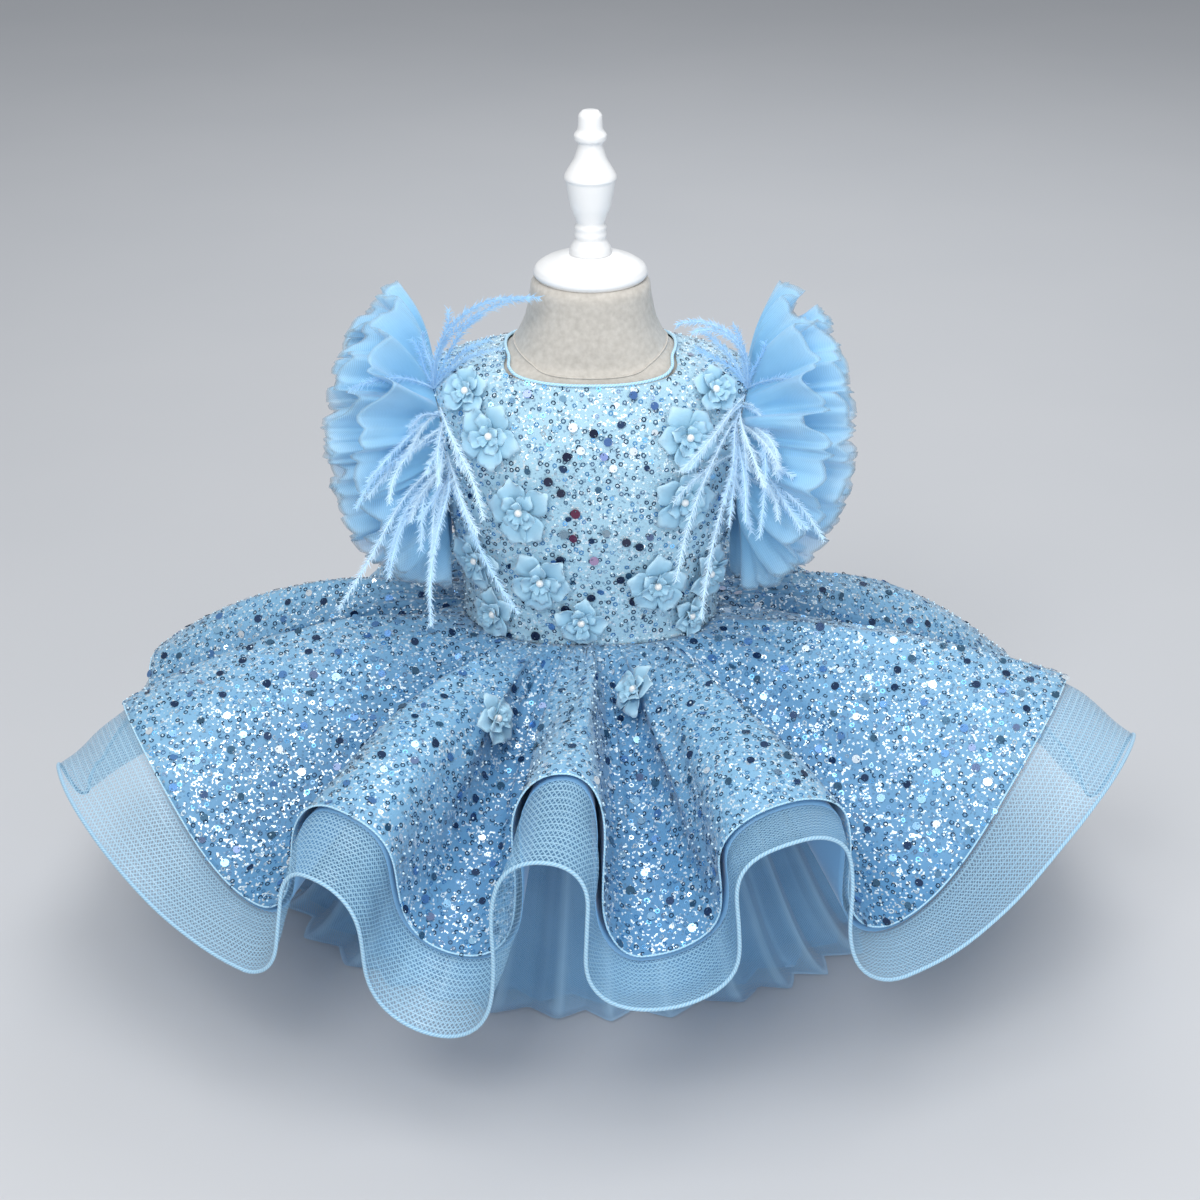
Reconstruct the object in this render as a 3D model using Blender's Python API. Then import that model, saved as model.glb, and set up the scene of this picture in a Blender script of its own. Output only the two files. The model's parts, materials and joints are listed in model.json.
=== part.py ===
"""Toddler's feather party dress on a limbless dress form.

Metres, +Z up, the dress faces -Y and the form's flat base stands on the floor at z = 0.
Azimuths run from the front (-Y) round to +X and are in degrees in every table.
"""

import math
import random
from collections import namedtuple

import bmesh
import bpy
from mathutils import Vector

# Driving sizes
SEAM = 0.0003
CLOTH = 0.0012
WAIST_Z = 0.247
UNDERARM_Z = 0.340
SHOULDER_Z = 0.443
ARMHOLE_HALF_DEPTH = 0.040
NECK_FRONT_Z = 0.4455
NECK_SIDE_Z = 0.4580
NECK_BACK_Z = 0.4530
FORM_EASE = 0.0036
FORM_NECK_EASE = 0.0010
FORM_NECK_Z = (0.449, 0.458)
FORM_TOP_Z = 0.512
FORM_FOOT_Z = 0.002
FORM_SIDES = 32
RING_POWER = 2.3
NORMAL_TURN = 1.5
NORMAL_RISE = 0.003
BODICE_FOOT_RISE = 0.0012

# Neck binding: its edges over the neckline, its way off the body and its thickness
BINDING_RISES = (0.0012, 0.0040)
BINDING_LIFT = 0.0004
BINDING_THICKNESS = 0.0018
BINDING_COLUMNS = 32

# Turned wood of the form, from its foot up
Turning = namedtuple("Turning", "radius rise")
NECK_CAP = (
    Turning(0.0405, 0.0000),
    Turning(0.0424, 0.0025),
    Turning(0.0424, 0.0045),
    Turning(0.0405, 0.0078),
    Turning(0.0346, 0.0116),
    Turning(0.0228, 0.0162),
    Turning(0.0160, 0.0176),
)
FINIAL = (
    Turning(0.0158, 0.0000),
    Turning(0.0152, 0.0045),
    Turning(0.0112, 0.0105),
    Turning(0.0112, 0.0112),
    Turning(0.0122, 0.0140),
    Turning(0.0114, 0.0168),
    Turning(0.0120, 0.0200),
    Turning(0.0098, 0.0228),
    Turning(0.0150, 0.0350),
    Turning(0.0178, 0.0500),
    Turning(0.0182, 0.0545),
    Turning(0.0196, 0.0565),
    Turning(0.0190, 0.0590),
    Turning(0.0118, 0.0710),
    Turning(0.0088, 0.0825),
    Turning(0.0118, 0.0848),
    Turning(0.0122, 0.0885),
    Turning(0.0092, 0.0925),
    Turning(0.0088, 0.1030),
    Turning(0.0060, 0.1060),
)
CAP_SIDES = 28
FINIAL_SIDES = 18

# The inside of the dress, and above it the form's neck, level by level
Section = namedtuple("Section", "z half_width half_depth")
BODY = (
    Section(0.000, 0.088, 0.068),
    Section(0.035, 0.095, 0.075),
    Section(0.130, 0.101, 0.081),
    Section(0.247, 0.0965, 0.0755),
    Section(0.285, 0.0990, 0.0780),
    Section(0.340, 0.1085, 0.0830),
    Section(0.385, 0.1165, 0.0820),
    Section(0.415, 0.1200, 0.0745),
    Section(0.432, 0.1205, 0.0670),
    Section(0.443, 0.1165, 0.0605),
    Section(0.449, 0.1000, 0.0560),
    Section(0.453, 0.0820, 0.0525),
    Section(0.458, 0.0640, 0.0490),
    Section(0.468, 0.0559, 0.0484),
    Section(0.485, 0.0489, 0.0464),
    Section(0.512, 0.0451, 0.0451),
)

# One row for each crest and each trough of the full skirt, going round from the front left.
# top_ is the sequinned overskirt's hem and hem_ is the corded hem below it. flank says how
# steep the cloth stands between this row and the next: 0 is a plain wave, 0.16 is upright.
Fold = namedtuple("Fold", "top_az top_r top_z hem_az hem_r hem_z flank columns")
FOLDS = (
    Fold(-72.0, 0.366, 0.210, -73.0, 0.421, 0.166, 0.02, 6),
    Fold(-43.0, 0.350, 0.128, -37.5, 0.396, 0.114, 0.17, 6),
    Fold(-32.0, 0.335, 0.222, -30.5, 0.384, 0.199, 0.15, 6),
    Fold(-16.0, 0.320, 0.117, -16.0, 0.372, 0.087, 0.20, 6),
    Fold(-3.0, 0.302, 0.257, -5.3, 0.378, 0.237, 0.20, 6),
    Fold(6.5, 0.320, 0.123, 6.4, 0.383, 0.124, 0.19, 6),
    Fold(26.0, 0.323, 0.231, 22.4, 0.376, 0.239, 0.20, 6),
    Fold(40.5, 0.338, 0.113, 34.5, 0.388, 0.113, 0.03, 6),
    Fold(73.0, 0.370, 0.229, 69.0, 0.428, 0.205, 0.08, 4),
    Fold(89.0, 0.348, 0.140, 88.0, 0.398, 0.096, 0.12, 4),
    Fold(104.0, 0.350, 0.160, 104.0, 0.388, 0.098, 0.12, 4),
    Fold(121.0, 0.315, 0.085, 121.0, 0.362, 0.045, 0.12, 4),
    Fold(141.0, 0.318, 0.128, 141.0, 0.366, 0.088, 0.12, 4),
    Fold(161.0, 0.292, 0.068, 161.0, 0.338, 0.028, 0.12, 4),
    Fold(181.0, 0.300, 0.104, 181.0, 0.348, 0.066, 0.12, 4),
    Fold(200.0, 0.292, 0.068, 200.0, 0.338, 0.028, 0.12, 4),
    Fold(219.0, 0.318, 0.124, 219.0, 0.366, 0.085, 0.12, 4),
    Fold(239.0, 0.315, 0.088, 239.0, 0.362, 0.047, 0.12, 4),
    Fold(261.0, 0.356, 0.176, 260.0, 0.402, 0.096, 0.10, 4),
    Fold(274.0, 0.348, 0.142, 274.0, 0.402, 0.104, 0.08, 4),
)
OVERSKIRT_STEPS = (0.0, 0.10, 0.26, 0.48, 0.74, 1.0)
UNDERSKIRT_STEPS = (0.0, 0.14, 0.38, 0.70, 1.0)
BAND_STEPS = (0.0, 0.5, 1.0)
SKIRT_WAIST_EASE = 0.0010
SKIRT_WAIST_DROP = 0.0006
SKIRT_TURN_POWER = 1.2
CREST_RISE = 0.010
CREST_POWER = 2.2
TROUGH_POWER = 1.25
UNDERSKIRT_DROP = 0.0052
UNDERSKIRT_WAIST_DROP = 0.0017
UNDERSKIRT_DROP_REACH = 0.13
GATHER_DEPTH = 0.0013
GATHER_REACH = 0.30

# The net petticoat stands on the floor inside the skirt
PETTICOAT_TOP_Z = (0.2520, 0.2390)
PETTICOAT_TOP_INSET = 0.0024
PETTICOAT = (
    Section(0.2330, 0.1010, 0.0800),
    Section(0.1750, 0.1380, 0.1150),
    Section(0.0850, 0.1960, 0.1690),
    Section(0.0030, 0.2450, 0.2100),
)
PETTICOAT_WAVES = 15
PETTICOAT_COLUMNS_PER_WAVE = 3
PETTICOAT_WAVE_DEPTH = 0.010

# Sleeve tiers: each is a gathered net strip round the armhole, spread like a fan
# Leans are from straight out sideways (0) to flat against the body (90).
Tier = namedtuple("Tier", "name root_scale lift top_lean side_lean foot_lean waves wave_depth phase")
TIERS = (
    Tier("inner", 1.0, 0.0025, 60.0, 46.0, 80.0, 17, 0.0060, 0.0),
    Tier("middle", 0.972, 0.0047, 36.0, 21.0, 55.0, 16, 0.0055, 0.4),
    Tier("outer", 0.925, 0.0066, 11.0, -4.0, 30.0, 15, 0.0050, 0.7),
)
TIER_WIDTH_TOP = 0.066
TIER_WIDTH_SIDE = 0.088
TIER_WIDTH_FOOT = 0.074
TIER_STEPS = (0.0, 0.45, 1.0)
TIER_ROOT_WAVE = 0.0002
TIER_EDGE_STEP = 0.05
TIER_EDGE_STEPS = 3

# Flowers: place on the front of the body, size and turn
Flower = namedtuple("Flower", "x z radius turn")
FLOWERS = (
    Flower(-0.0890, 0.4380, 0.0155, 10.0),
    Flower(-0.0720, 0.4110, 0.0200, 40.0),
    Flower(-0.0511, 0.3570, 0.0210, 5.0),
    Flower(-0.0825, 0.3085, 0.0195, 30.0),
    Flower(-0.0362, 0.3010, 0.0200, 55.0),
    Flower(0.0890, 0.4390, 0.0155, 20.0),
    Flower(0.0706, 0.4100, 0.0200, 0.0),
    Flower(0.0667, 0.3630, 0.0205, 35.0),
    Flower(0.0481, 0.2965, 0.0200, 15.0),
    Flower(0.0855, 0.2945, 0.0185, 50.0),
    Flower(-0.0700, 0.2660, 0.0165, 12.0),
    Flower(-0.0070, 0.2680, 0.0160, 33.0),
    Flower(0.0720, 0.2640, 0.0135, 50.0),
)
PETALS = 5
PETAL_CORNERS = ((0.0, 0.60), (21.0, 1.0), (51.0, 1.0))
PETAL_CUP = 0.0075
PETAL_BACK_SCALE = 0.97
PEARL_RADIUS = 0.0030
PEARL_FOOT = 0.0030
PEARL_TOP = 0.0070

# Feather tufts: fronds leave a short tape on each front shoulder, its top ones named here.
# out is away from the neck and forward is towards -Y; inward and down bend the frond along its way.
Frond = namedtuple("Frond", "out forward up length inward down")
RISING_FRONDS = {
    "left": (
        Frond(0.04, 0.20, 0.97, 0.138, 4.0, 2.6),
        Frond(0.02, 0.56, 0.82, 0.122, 4.4, 2.2),
        Frond(0.20, 0.72, 0.66, 0.050, 1.5, 3.0),
        Frond(0.45, 0.78, 0.44, 0.060, 0.0, 5.0),
    ),
    "right": (
        Frond(0.08, 0.20, 0.97, 0.104, 5.6, 4.8),
        Frond(0.06, 0.56, 0.82, 0.086, 5.0, 4.4),
        Frond(0.20, 0.74, 0.62, 0.045, 1.5, 3.0),
        Frond(0.45, 0.80, 0.40, 0.064, 0.0, 5.0),
    ),
}
FALLING_OUT = (0.28, 0.56)
FALLING_UP = (0.36, -0.05)
FALLING_LENGTH = (0.085, 0.120)
FALLING_DOWN = 4.8
FROND_COUNT = 18
FROND_ROOT = 0.0024
FROND_TIP = 0.0009
FROND_STEPS = 5
TAPE_TOP_Z = 0.4335
TAPE_FOOT_Z = 0.3620
TAPE_AZIMUTH_INSET = 3.4
TAPE_HALF_SPAN = 1.3
TAPE_LIFT = (0.0018, 0.0030)

# Zip at the centre back
ZIP_SLOPE_Z = (0.415, 0.432)
ZIP_AXIS_SHARE = 0.88
ZIP_AXIS_LIFT = 0.0016
ZIP_KNUCKLE = 0.0010
ZIP_KNUCKLE_CORNERS = 9
ZIP_KNUCKLE_ANGLES = (35.0, 325.0)
ZIP_SLIDER_REACH = (0.0015, 0.0088)
ZIP_SLIDER_TOP = 0.0006
ZIP_SLIDER_GAP = 0.0004
ZIP_SLIDER_HALF_WIDTH = 0.0025
ZIP_TAB_GAP = 0.0004
ZIP_TAB_LENGTH = 0.0160
ZIP_TAB_THICKNESS = 0.0010
ZIP_TAB_HALF_WIDTH = 0.0024

Finish = namedtuple("Finish", "colour roughness")
FINISHES = {
    "linen": Finish((0.60, 0.56, 0.51), 0.90),
    "painted_wood": Finish((0.88, 0.88, 0.87), 0.35),
    "sequinned_net": Finish((0.36, 0.60, 0.80), 0.45),
    "satin": Finish((0.30, 0.57, 0.82), 0.50),
    "horsehair_braid": Finish((0.48, 0.68, 0.82), 0.40),
    "tulle": Finish((0.25, 0.54, 0.80), 0.75),
    "feather": Finish((0.50, 0.73, 0.88), 0.85),
    "chiffon": Finish((0.52, 0.76, 0.90), 0.65),
    "enamelled_metal": Finish((0.35, 0.60, 0.82), 0.30),
}


def clear_scene():
    for thing in list(bpy.data.objects):
        bpy.data.objects.remove(thing, do_unlink=True)


def material(name):
    found = bpy.data.materials.get(name)
    if found:
        return found
    made = bpy.data.materials.new(name)
    made.use_nodes = True
    shader = made.node_tree.nodes["Principled BSDF"]
    finish = FINISHES[name]
    shader.inputs["Base Color"].default_value = (*finish.colour, 1.0)
    shader.inputs["Roughness"].default_value = finish.roughness
    made.diffuse_color = (*finish.colour, 1.0)
    return made


def add_object(name, bm, finish):
    mesh = bpy.data.meshes.new(name)
    bmesh.ops.recalc_face_normals(bm, faces=bm.faces)
    if bm.calc_volume(signed=True) < 0:
        bmesh.ops.reverse_faces(bm, faces=bm.faces)
    bm.to_mesh(mesh)
    bm.free()
    mesh.materials.append(material(finish))
    made = bpy.data.objects.new(name, mesh)
    bpy.context.scene.collection.objects.link(made)
    return made


def mix(first, second, share):
    return first + (second - first) * share


def section_at(table, z):
    """Half width and half depth of a table of levels at one height."""
    rows = sorted(table, key=lambda row: row.z)
    z = min(max(z, rows[0].z), rows[-1].z)
    for low, high in zip(rows, rows[1:]):
        if z <= high.z:
            share = (z - low.z) / (high.z - low.z)
            return mix(low.half_width, high.half_width, share), mix(low.half_depth, high.half_depth, share)
    return rows[-1].half_width, rows[-1].half_depth


def body_point(azimuth, z):
    """Point on the inside of the dress at an azimuth in degrees and a height."""
    half_width, half_depth = section_at(BODY, z)
    side = math.sin(math.radians(azimuth))
    front = math.cos(math.radians(azimuth))
    power = 2.0 / RING_POWER
    x = math.copysign(abs(side) ** power, side) * half_width
    y = -math.copysign(abs(front) ** power, front) * half_depth
    return Vector((x, y, z))


def body_normal(azimuth, z):
    across = body_point(azimuth + NORMAL_TURN, z) - body_point(azimuth - NORMAL_TURN, z)
    upward = body_point(azimuth, z + NORMAL_RISE) - body_point(azimuth, z - NORMAL_RISE)
    return across.cross(upward).normalized()


def body_out(azimuth, z, distance):
    return body_point(azimuth, z) + body_normal(azimuth, z) * distance


def grid_normals(rows, closed, downward=False):
    """Normal of each point of a grid, from its neighbours; downward is for rows that run to the hem."""
    normals = []
    last_row = len(rows) - 1
    for r, row in enumerate(rows):
        below = rows[max(r - 1, 0)]
        above = rows[min(r + 1, last_row)]
        line = []
        count = len(row)
        for c in range(count):
            if closed:
                across = row[(c + 1) % count] - row[c - 1]
            else:
                across = row[min(c + 1, count - 1)] - row[max(c - 1, 0)]
            normal = across.cross(above[c] - below[c]).normalized()
            line.append(-normal if downward else normal)
        normals.append(line)
    return normals


def moved(rows, normals, distance):
    return [[p + n * distance for p, n in zip(row, line)] for row, line in zip(rows, normals)]


def pick_columns(rows, columns):
    return [[row[c % len(row)] for c in columns] for row in rows]


def trim(rows, ends=True, first_row=False, last_row=False):
    """Draw a panel's cut edges in by half a seam."""
    half = SEAM / 2
    rows = [[p.copy() for p in row] for row in rows]
    if ends:
        for row in rows:
            row[0] += (row[1] - row[0]).normalized() * half
            row[-1] += (row[-2] - row[-1]).normalized() * half
    if first_row:
        rows[0] = [p + (q - p).normalized() * half for p, q in zip(rows[0], rows[1])]
    if last_row:
        rows[-1] = [p + (q - p).normalized() * half for p, q in zip(rows[-1], rows[-2])]
    return rows


def wall(name, inside, outside, finish, closed=False):
    """One closed solid between two grids of the same shape."""
    bm = bmesh.new()
    skins = [[[bm.verts.new(p) for p in row] for row in grid] for grid in (inside, outside)]
    height = len(inside)
    width = len(inside[0])
    spans = width if closed else width - 1
    for r in range(height - 1):
        for c in range(spans):
            d = (c + 1) % width
            one = (outside[r][c] - outside[r + 1][d]).length
            two = (outside[r][d] - outside[r + 1][c]).length
            for skin, flip in ((skins[0], True), (skins[1], False)):
                a, b, e, f = skin[r][c], skin[r][d], skin[r + 1][d], skin[r + 1][c]
                pair = ((a, b, e), (a, e, f)) if one <= two else ((a, b, f), (b, e, f))
                for corners in pair:
                    bm.faces.new(tuple(reversed(corners)) if flip else corners)
    for r in (0, height - 1):
        for c in range(spans):
            d = (c + 1) % width
            bm.faces.new((skins[0][r][c], skins[0][r][d], skins[1][r][d], skins[1][r][c]))
    if not closed:
        for c in (0, width - 1):
            for r in range(height - 1):
                bm.faces.new((skins[0][r][c], skins[0][r + 1][c], skins[1][r + 1][c], skins[1][r][c]))
    bmesh.ops.triangulate(bm, faces=[f for f in bm.faces if len(f.verts) > 3])
    return add_object(name, bm, finish)


def lathe(name, profile, sides, finish):
    """Solid of revolution round Z from (radius, z) pairs, closed by a flat face at each end."""
    bm = bmesh.new()
    rings = []
    for radius, z in profile:
        ring = []
        for k in range(sides):
            angle = math.tau * k / sides
            ring.append(bm.verts.new((radius * math.cos(angle), radius * math.sin(angle), z)))
        rings.append(ring)
    for low, high in zip(rings, rings[1:]):
        for k in range(sides):
            j = (k + 1) % sides
            bm.faces.new((low[k], low[j], high[j], high[k]))
    bm.faces.new(list(reversed(rings[0])))
    bm.faces.new(rings[-1])
    bmesh.ops.triangulate(bm, faces=bm.faces)
    return add_object(name, bm, finish)


def form_ease(z):
    """Room between the form and the dress: close at the neckline and wider below it."""
    low, high = FORM_NECK_Z
    share = min(1.0, max(0.0, (z - low) / (high - low)))
    return mix(FORM_EASE, FORM_NECK_EASE, share)


def make_form():
    """Linen torso on a flat base, and the turned neck cap and finial."""
    levels = [row.z for row in BODY]
    bm = bmesh.new()
    rings = []
    for z in levels:
        ring = []
        for k in range(FORM_SIDES):
            azimuth = 360.0 * k / FORM_SIDES
            if FORM_TOP_Z > z > 0.0:
                place = body_out(azimuth, z, -form_ease(z))
                place.z = max(place.z, FORM_FOOT_Z)
            else:
                place = body_point(azimuth, z)
                place.xy *= 1.0 - FORM_EASE / place.xy.length
            ring.append(bm.verts.new(place))
        rings.append(ring)
    for low, high in zip(rings, rings[1:]):
        for k in range(FORM_SIDES):
            j = (k + 1) % FORM_SIDES
            bm.faces.new((low[k], low[j], high[j], high[k]))
    bm.faces.new(list(reversed(rings[0])))
    bm.faces.new(rings[-1])
    bmesh.ops.triangulate(bm, faces=bm.faces)
    add_object("form_torso", bm, "linen")
    cap_z = FORM_TOP_Z + SEAM
    lathe("form_neck_cap", turned(NECK_CAP, cap_z), CAP_SIDES, "painted_wood")
    finial_z = cap_z + NECK_CAP[-1].rise + SEAM
    lathe("form_finial", turned(FINIAL, finial_z), FINIAL_SIDES, "painted_wood")


def turned(table, foot_z):
    return [(row.radius, foot_z + row.rise) for row in table]


def neckline_z(azimuth):
    """Height of the neckline, lowest at the front and highest at the sides."""
    front = math.cos(math.radians(azimuth))
    low = NECK_FRONT_Z if front > 0 else NECK_BACK_Z
    return mix(NECK_SIDE_Z, low, abs(front) ** 3)


def armhole_azimuth(z):
    """Azimuth of the armhole's front edge, or 90 where there is a seam instead."""
    middle = (UNDERARM_Z + SHOULDER_Z) / 2
    half = (SHOULDER_Z - UNDERARM_Z) / 2
    reach = 1.0 - ((z - middle) / half) ** 2
    if reach <= 0:
        return 90.0
    depth = ARMHOLE_HALF_DEPTH * math.sqrt(reach)
    half_depth = section_at(BODY, z)[1]
    return math.degrees(math.acos(min(1.0, (depth / half_depth) ** (RING_POWER / 2))))


BODICE_LEVELS = (0.0, 0.20, 0.43, 0.52, 0.64, 0.78, 0.865, 0.925, 0.965, 1.0)


def bodice_panel(name, centre, half_span, columns):
    """A panel from waist to neckline, drawn in at each armhole it meets."""
    rows = []
    for level in BODICE_LEVELS:
        row = []
        for c in range(columns + 1):
            share = 2.0 * c / columns - 1.0
            nominal = centre + half_span * share
            z_top = neckline_z(nominal)
            z = mix(WAIST_Z + BODICE_FOOT_RISE, z_top, level)
            edge = armhole_azimuth(z)
            turn = math.remainder(nominal, 360.0)
            away = abs(turn) if abs(turn) <= 90 else 180.0 - abs(turn)
            away *= edge / 90.0
            if abs(turn) > 90:
                away = 180.0 - away
            row.append(body_out(math.copysign(away, turn), z, 0.0))
        rows.append(row)
    normals = grid_normals(rows, False)
    rows = trim(rows)
    return wall(name, rows, moved(rows, normals, CLOTH), "sequinned_net")


def make_bodice():
    """Front panel, two back panels and the narrow neck binding above them."""
    bodice_panel("bodice_front", 0.0, 89.99, 16)
    bodice_panel("bodice_back_left", -135.0, 44.99, 8)
    bodice_panel("bodice_back_right", 135.0, 44.99, 8)
    rows = []
    turns = [360.0 * k / BINDING_COLUMNS for k in range(BINDING_COLUMNS)]
    for rise in BINDING_RISES:
        rows.append([body_out(azimuth, neckline_z(azimuth) + rise, BINDING_LIFT) for azimuth in turns])
    normals = grid_normals(rows, True)
    wall("neck_binding", rows, moved(rows, normals, BINDING_THICKNESS), "satin", closed=True)


def fold_columns():
    """Fold pair and share for each column round the skirt."""
    for index, fold in enumerate(FOLDS):
        for k in range(fold.columns):
            yield index, k / fold.columns


def skirt_point(index, share, along):
    """Point of the skirt: along is 0 at the waist, 1 at the overskirt's hem, 2 at the corded hem."""
    one = FOLDS[index]
    two = FOLDS[(index + 1) % len(FOLDS)]
    wrap = 360.0 if index == len(FOLDS) - 1 else 0.0
    ease = (1.0 - math.cos(math.pi * share)) / 2.0
    bend = one.flank * math.sin(math.tau * share)
    top_az = mix(one.top_az, two.top_az + wrap, share + bend)
    hem_az = mix(one.hem_az, two.hem_az + wrap, share + bend)
    top_r = mix(one.top_r, two.top_r, ease)
    top_z = mix(one.top_z, two.top_z, ease)
    crest = 1.0 - ease if index % 2 == 0 else ease
    waist_az = mix(one.top_az, two.top_az + wrap, share)
    waist = body_point(waist_az, WAIST_Z)
    waist_r = waist.xy.length + SKIRT_WAIST_EASE
    if along <= 1.0:
        azimuth = mix(waist_az, top_az, along**SKIRT_TURN_POWER)
        radius = mix(waist_r, top_r, along)
        power = mix(TROUGH_POWER, CREST_POWER, crest)
        z = mix(WAIST_Z - SKIRT_WAIST_DROP, top_z, along**power)
        z += CREST_RISE * crest * 4.0 * along * (1.0 - along)
    else:
        beyond = along - 1.0
        azimuth = mix(top_az, hem_az, beyond)
        radius = mix(top_r, mix(one.hem_r, two.hem_r, ease), beyond)
        z = mix(top_z, mix(one.hem_z, two.hem_z, ease), beyond)
    angle = math.radians(azimuth)
    return Vector((radius * math.sin(angle), -radius * math.cos(angle), z))


def skirt_rows(steps):
    rows = []
    for along in steps:
        rows.append([skirt_point(index, share, along) for index, share in fold_columns()])
    return rows


def first_column(fold):
    """Number of a fold's own column; folds and columns below 0 lie before the first."""
    whole = sum(row.columns for row in FOLDS)
    return sum(row.columns for row in FOLDS[: fold % len(FOLDS)]) + whole * (fold // len(FOLDS))


# Seams of the skirt, in rows of FOLDS: left side, right side and centre back
LEFT_SEAM, RIGHT_SEAM, BACK_SEAM = -1, 9, 14
PANELS = (
    ("front", LEFT_SEAM, RIGHT_SEAM),
    ("back_right", RIGHT_SEAM, BACK_SEAM),
    ("back_left", BACK_SEAM, len(FOLDS) + LEFT_SEAM),
)


def gathered(rows, normals, steps):
    """Small gathers just below the waist seam."""
    shaped = []
    for row, line, along in zip(rows, normals, steps):
        depth = GATHER_DEPTH * math.sin(math.pi * min(1.0, along / GATHER_REACH))
        shaped.append([p + n * depth * (1 if c % 2 else -1) for c, (p, n) in enumerate(zip(row, line))])
    return shaped


def lowered(rows, normals, steps):
    """The underskirt's place: straight down at the waist, then square to the cloth above it."""
    shaped = []
    for row, line, along in zip(rows, normals, steps):
        share = min(1.0, along / GATHER_REACH)
        drop = mix(UNDERSKIRT_WAIST_DROP, UNDERSKIRT_DROP, min(1.0, along / UNDERSKIRT_DROP_REACH))
        away = [Vector((0.0, 0.0, 1.0)).lerp(n, share).normalized() for n in line]
        shaped.append([p - a * drop for p, a in zip(row, away)])
    return shaped


def make_skirt():
    """Sequinned overskirt, satin underskirt, and the corded horsehair band on its hem."""
    full = tuple(UNDERSKIRT_STEPS) + tuple(1.0 + s for s in BAND_STEPS[1:])
    over = skirt_rows(OVERSKIRT_STEPS)
    over_normals = grid_normals(over, True, downward=True)
    over = gathered(over, over_normals, OVERSKIRT_STEPS)
    under = skirt_rows(full)
    under_normals = grid_normals(under, True, downward=True)
    split = len(UNDERSKIRT_STEPS)
    for label, first, last in PANELS:
        columns = range(first_column(first), first_column(last) + 1)
        rows = trim(pick_columns(over, columns))
        normals = pick_columns(over_normals, columns)
        wall(f"overskirt_{label}", rows, moved(rows, normals, CLOTH), "sequinned_net")
        rows = pick_columns(lowered(under, under_normals, full), columns)
        normals = pick_columns(under_normals, columns)
        top = trim(rows[:split], last_row=True)
        wall(f"underskirt_{label}", top, moved(top, normals[:split], CLOTH), "satin")
        band = trim(rows[split - 1 :], first_row=True)
        wall(f"horsehair_band_{label}", band, moved(band, normals[split - 1 :], CLOTH), "horsehair_braid")


def make_petticoat():
    """Gathered net from the waist seam, inside the bodice's edge, to just above the floor."""
    count = PETTICOAT_WAVES * PETTICOAT_COLUMNS_PER_WAVE
    rows = []
    for z in PETTICOAT_TOP_Z:
        rows.append([body_out(360.0 * c / count, z, -PETTICOAT_TOP_INSET) for c in range(count)])
    for level, row in enumerate(PETTICOAT):
        depth = PETTICOAT_WAVE_DEPTH * level / (len(PETTICOAT) - 1)
        line = []
        for c in range(count):
            angle = math.tau * c / count
            wave = depth * math.cos(math.tau * c / PETTICOAT_COLUMNS_PER_WAVE)
            line.append(
                Vector(
                    (
                        (row.half_width + wave) * math.sin(angle),
                        -(row.half_depth + wave) * math.cos(angle),
                        row.z,
                    )
                )
            )
        rows.append(line)
    rows.reverse()
    normals = grid_normals(rows, True)
    wall("petticoat", rows, moved(rows, normals, CLOTH), "tulle", closed=True)


def side_out(y, z, distance):
    """Point at a distance from the body's right side, at a depth and height."""
    half_depth = section_at(BODY, z)[1]
    away = math.degrees(math.acos((abs(y) / half_depth) ** (RING_POWER / 2)))
    return body_out(away if y < 0 else 180.0 - away, z, distance)


def tier_rows(tier, side):
    columns = tier.waves * 2
    middle = (UNDERARM_Z + SHOULDER_Z) / 2
    half = (SHOULDER_Z - UNDERARM_Z) / 2
    rows = []
    for along in TIER_STEPS:
        row = []
        for c in range(columns):
            share = (c + tier.phase) / columns
            angle = math.tau * share
            up = math.cos(angle)
            forward = math.sin(angle)
            y = -ARMHOLE_HALF_DEPTH * tier.root_scale * forward
            z = middle + half * tier.root_scale * up
            root = side_out(y, z, tier.lift)
            radial = Vector((0.0, -forward, up))
            end_lean, end_width = (
                (tier.top_lean, TIER_WIDTH_TOP) if up > 0 else (tier.foot_lean, TIER_WIDTH_FOOT)
            )
            lean = math.radians(mix(tier.side_lean, end_lean, up * up))
            width = mix(TIER_WIDTH_SIDE, end_width, up * up)
            ahead = Vector((math.cos(lean), 0.0, 0.0)) + radial * math.sin(lean)
            across = Vector((-math.sin(lean), 0.0, 0.0)) + radial * math.cos(lean)
            depth = mix(TIER_ROOT_WAVE, tier.wave_depth, along) * (1 if c % 2 else -1)
            trimmed = width * (1.0 - TIER_EDGE_STEP * (c % TIER_EDGE_STEPS))
            place = root + ahead * trimmed * along + across * depth
            place.x *= side
            row.append(place)
        rows.append(row if side > 0 else list(reversed(row)))
    return rows


def make_sleeves():
    """Three fanned net tiers round each armhole."""
    for label, side in (("left", -1), ("right", 1)):
        for tier in TIERS:
            rows = tier_rows(tier, side)
            normals = grid_normals(rows, True)
            half = CLOTH / 2
            wall(
                f"sleeve_{label}_{tier.name}",
                moved(rows, normals, -half),
                moved(rows, normals, half),
                "tulle",
                closed=True,
            )


def body_azimuth(x, z):
    """Azimuth of the point of the body's front at an X and a height."""
    half_width = section_at(BODY, z)[0]
    return math.copysign(math.degrees(math.asin((abs(x) / half_width) ** (RING_POWER / 2))), x)


def petal_ring(row, scale, lift):
    """Corners of the five petals: distance from the middle, angle, and height over it."""
    corners = []
    for k in range(PETALS):
        for angle, reach in PETAL_CORNERS:
            turn = math.radians(row.turn + 360.0 * k / PETALS + angle)
            corners.append((row.radius * reach * scale, turn, lift * reach))
    return corners


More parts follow.
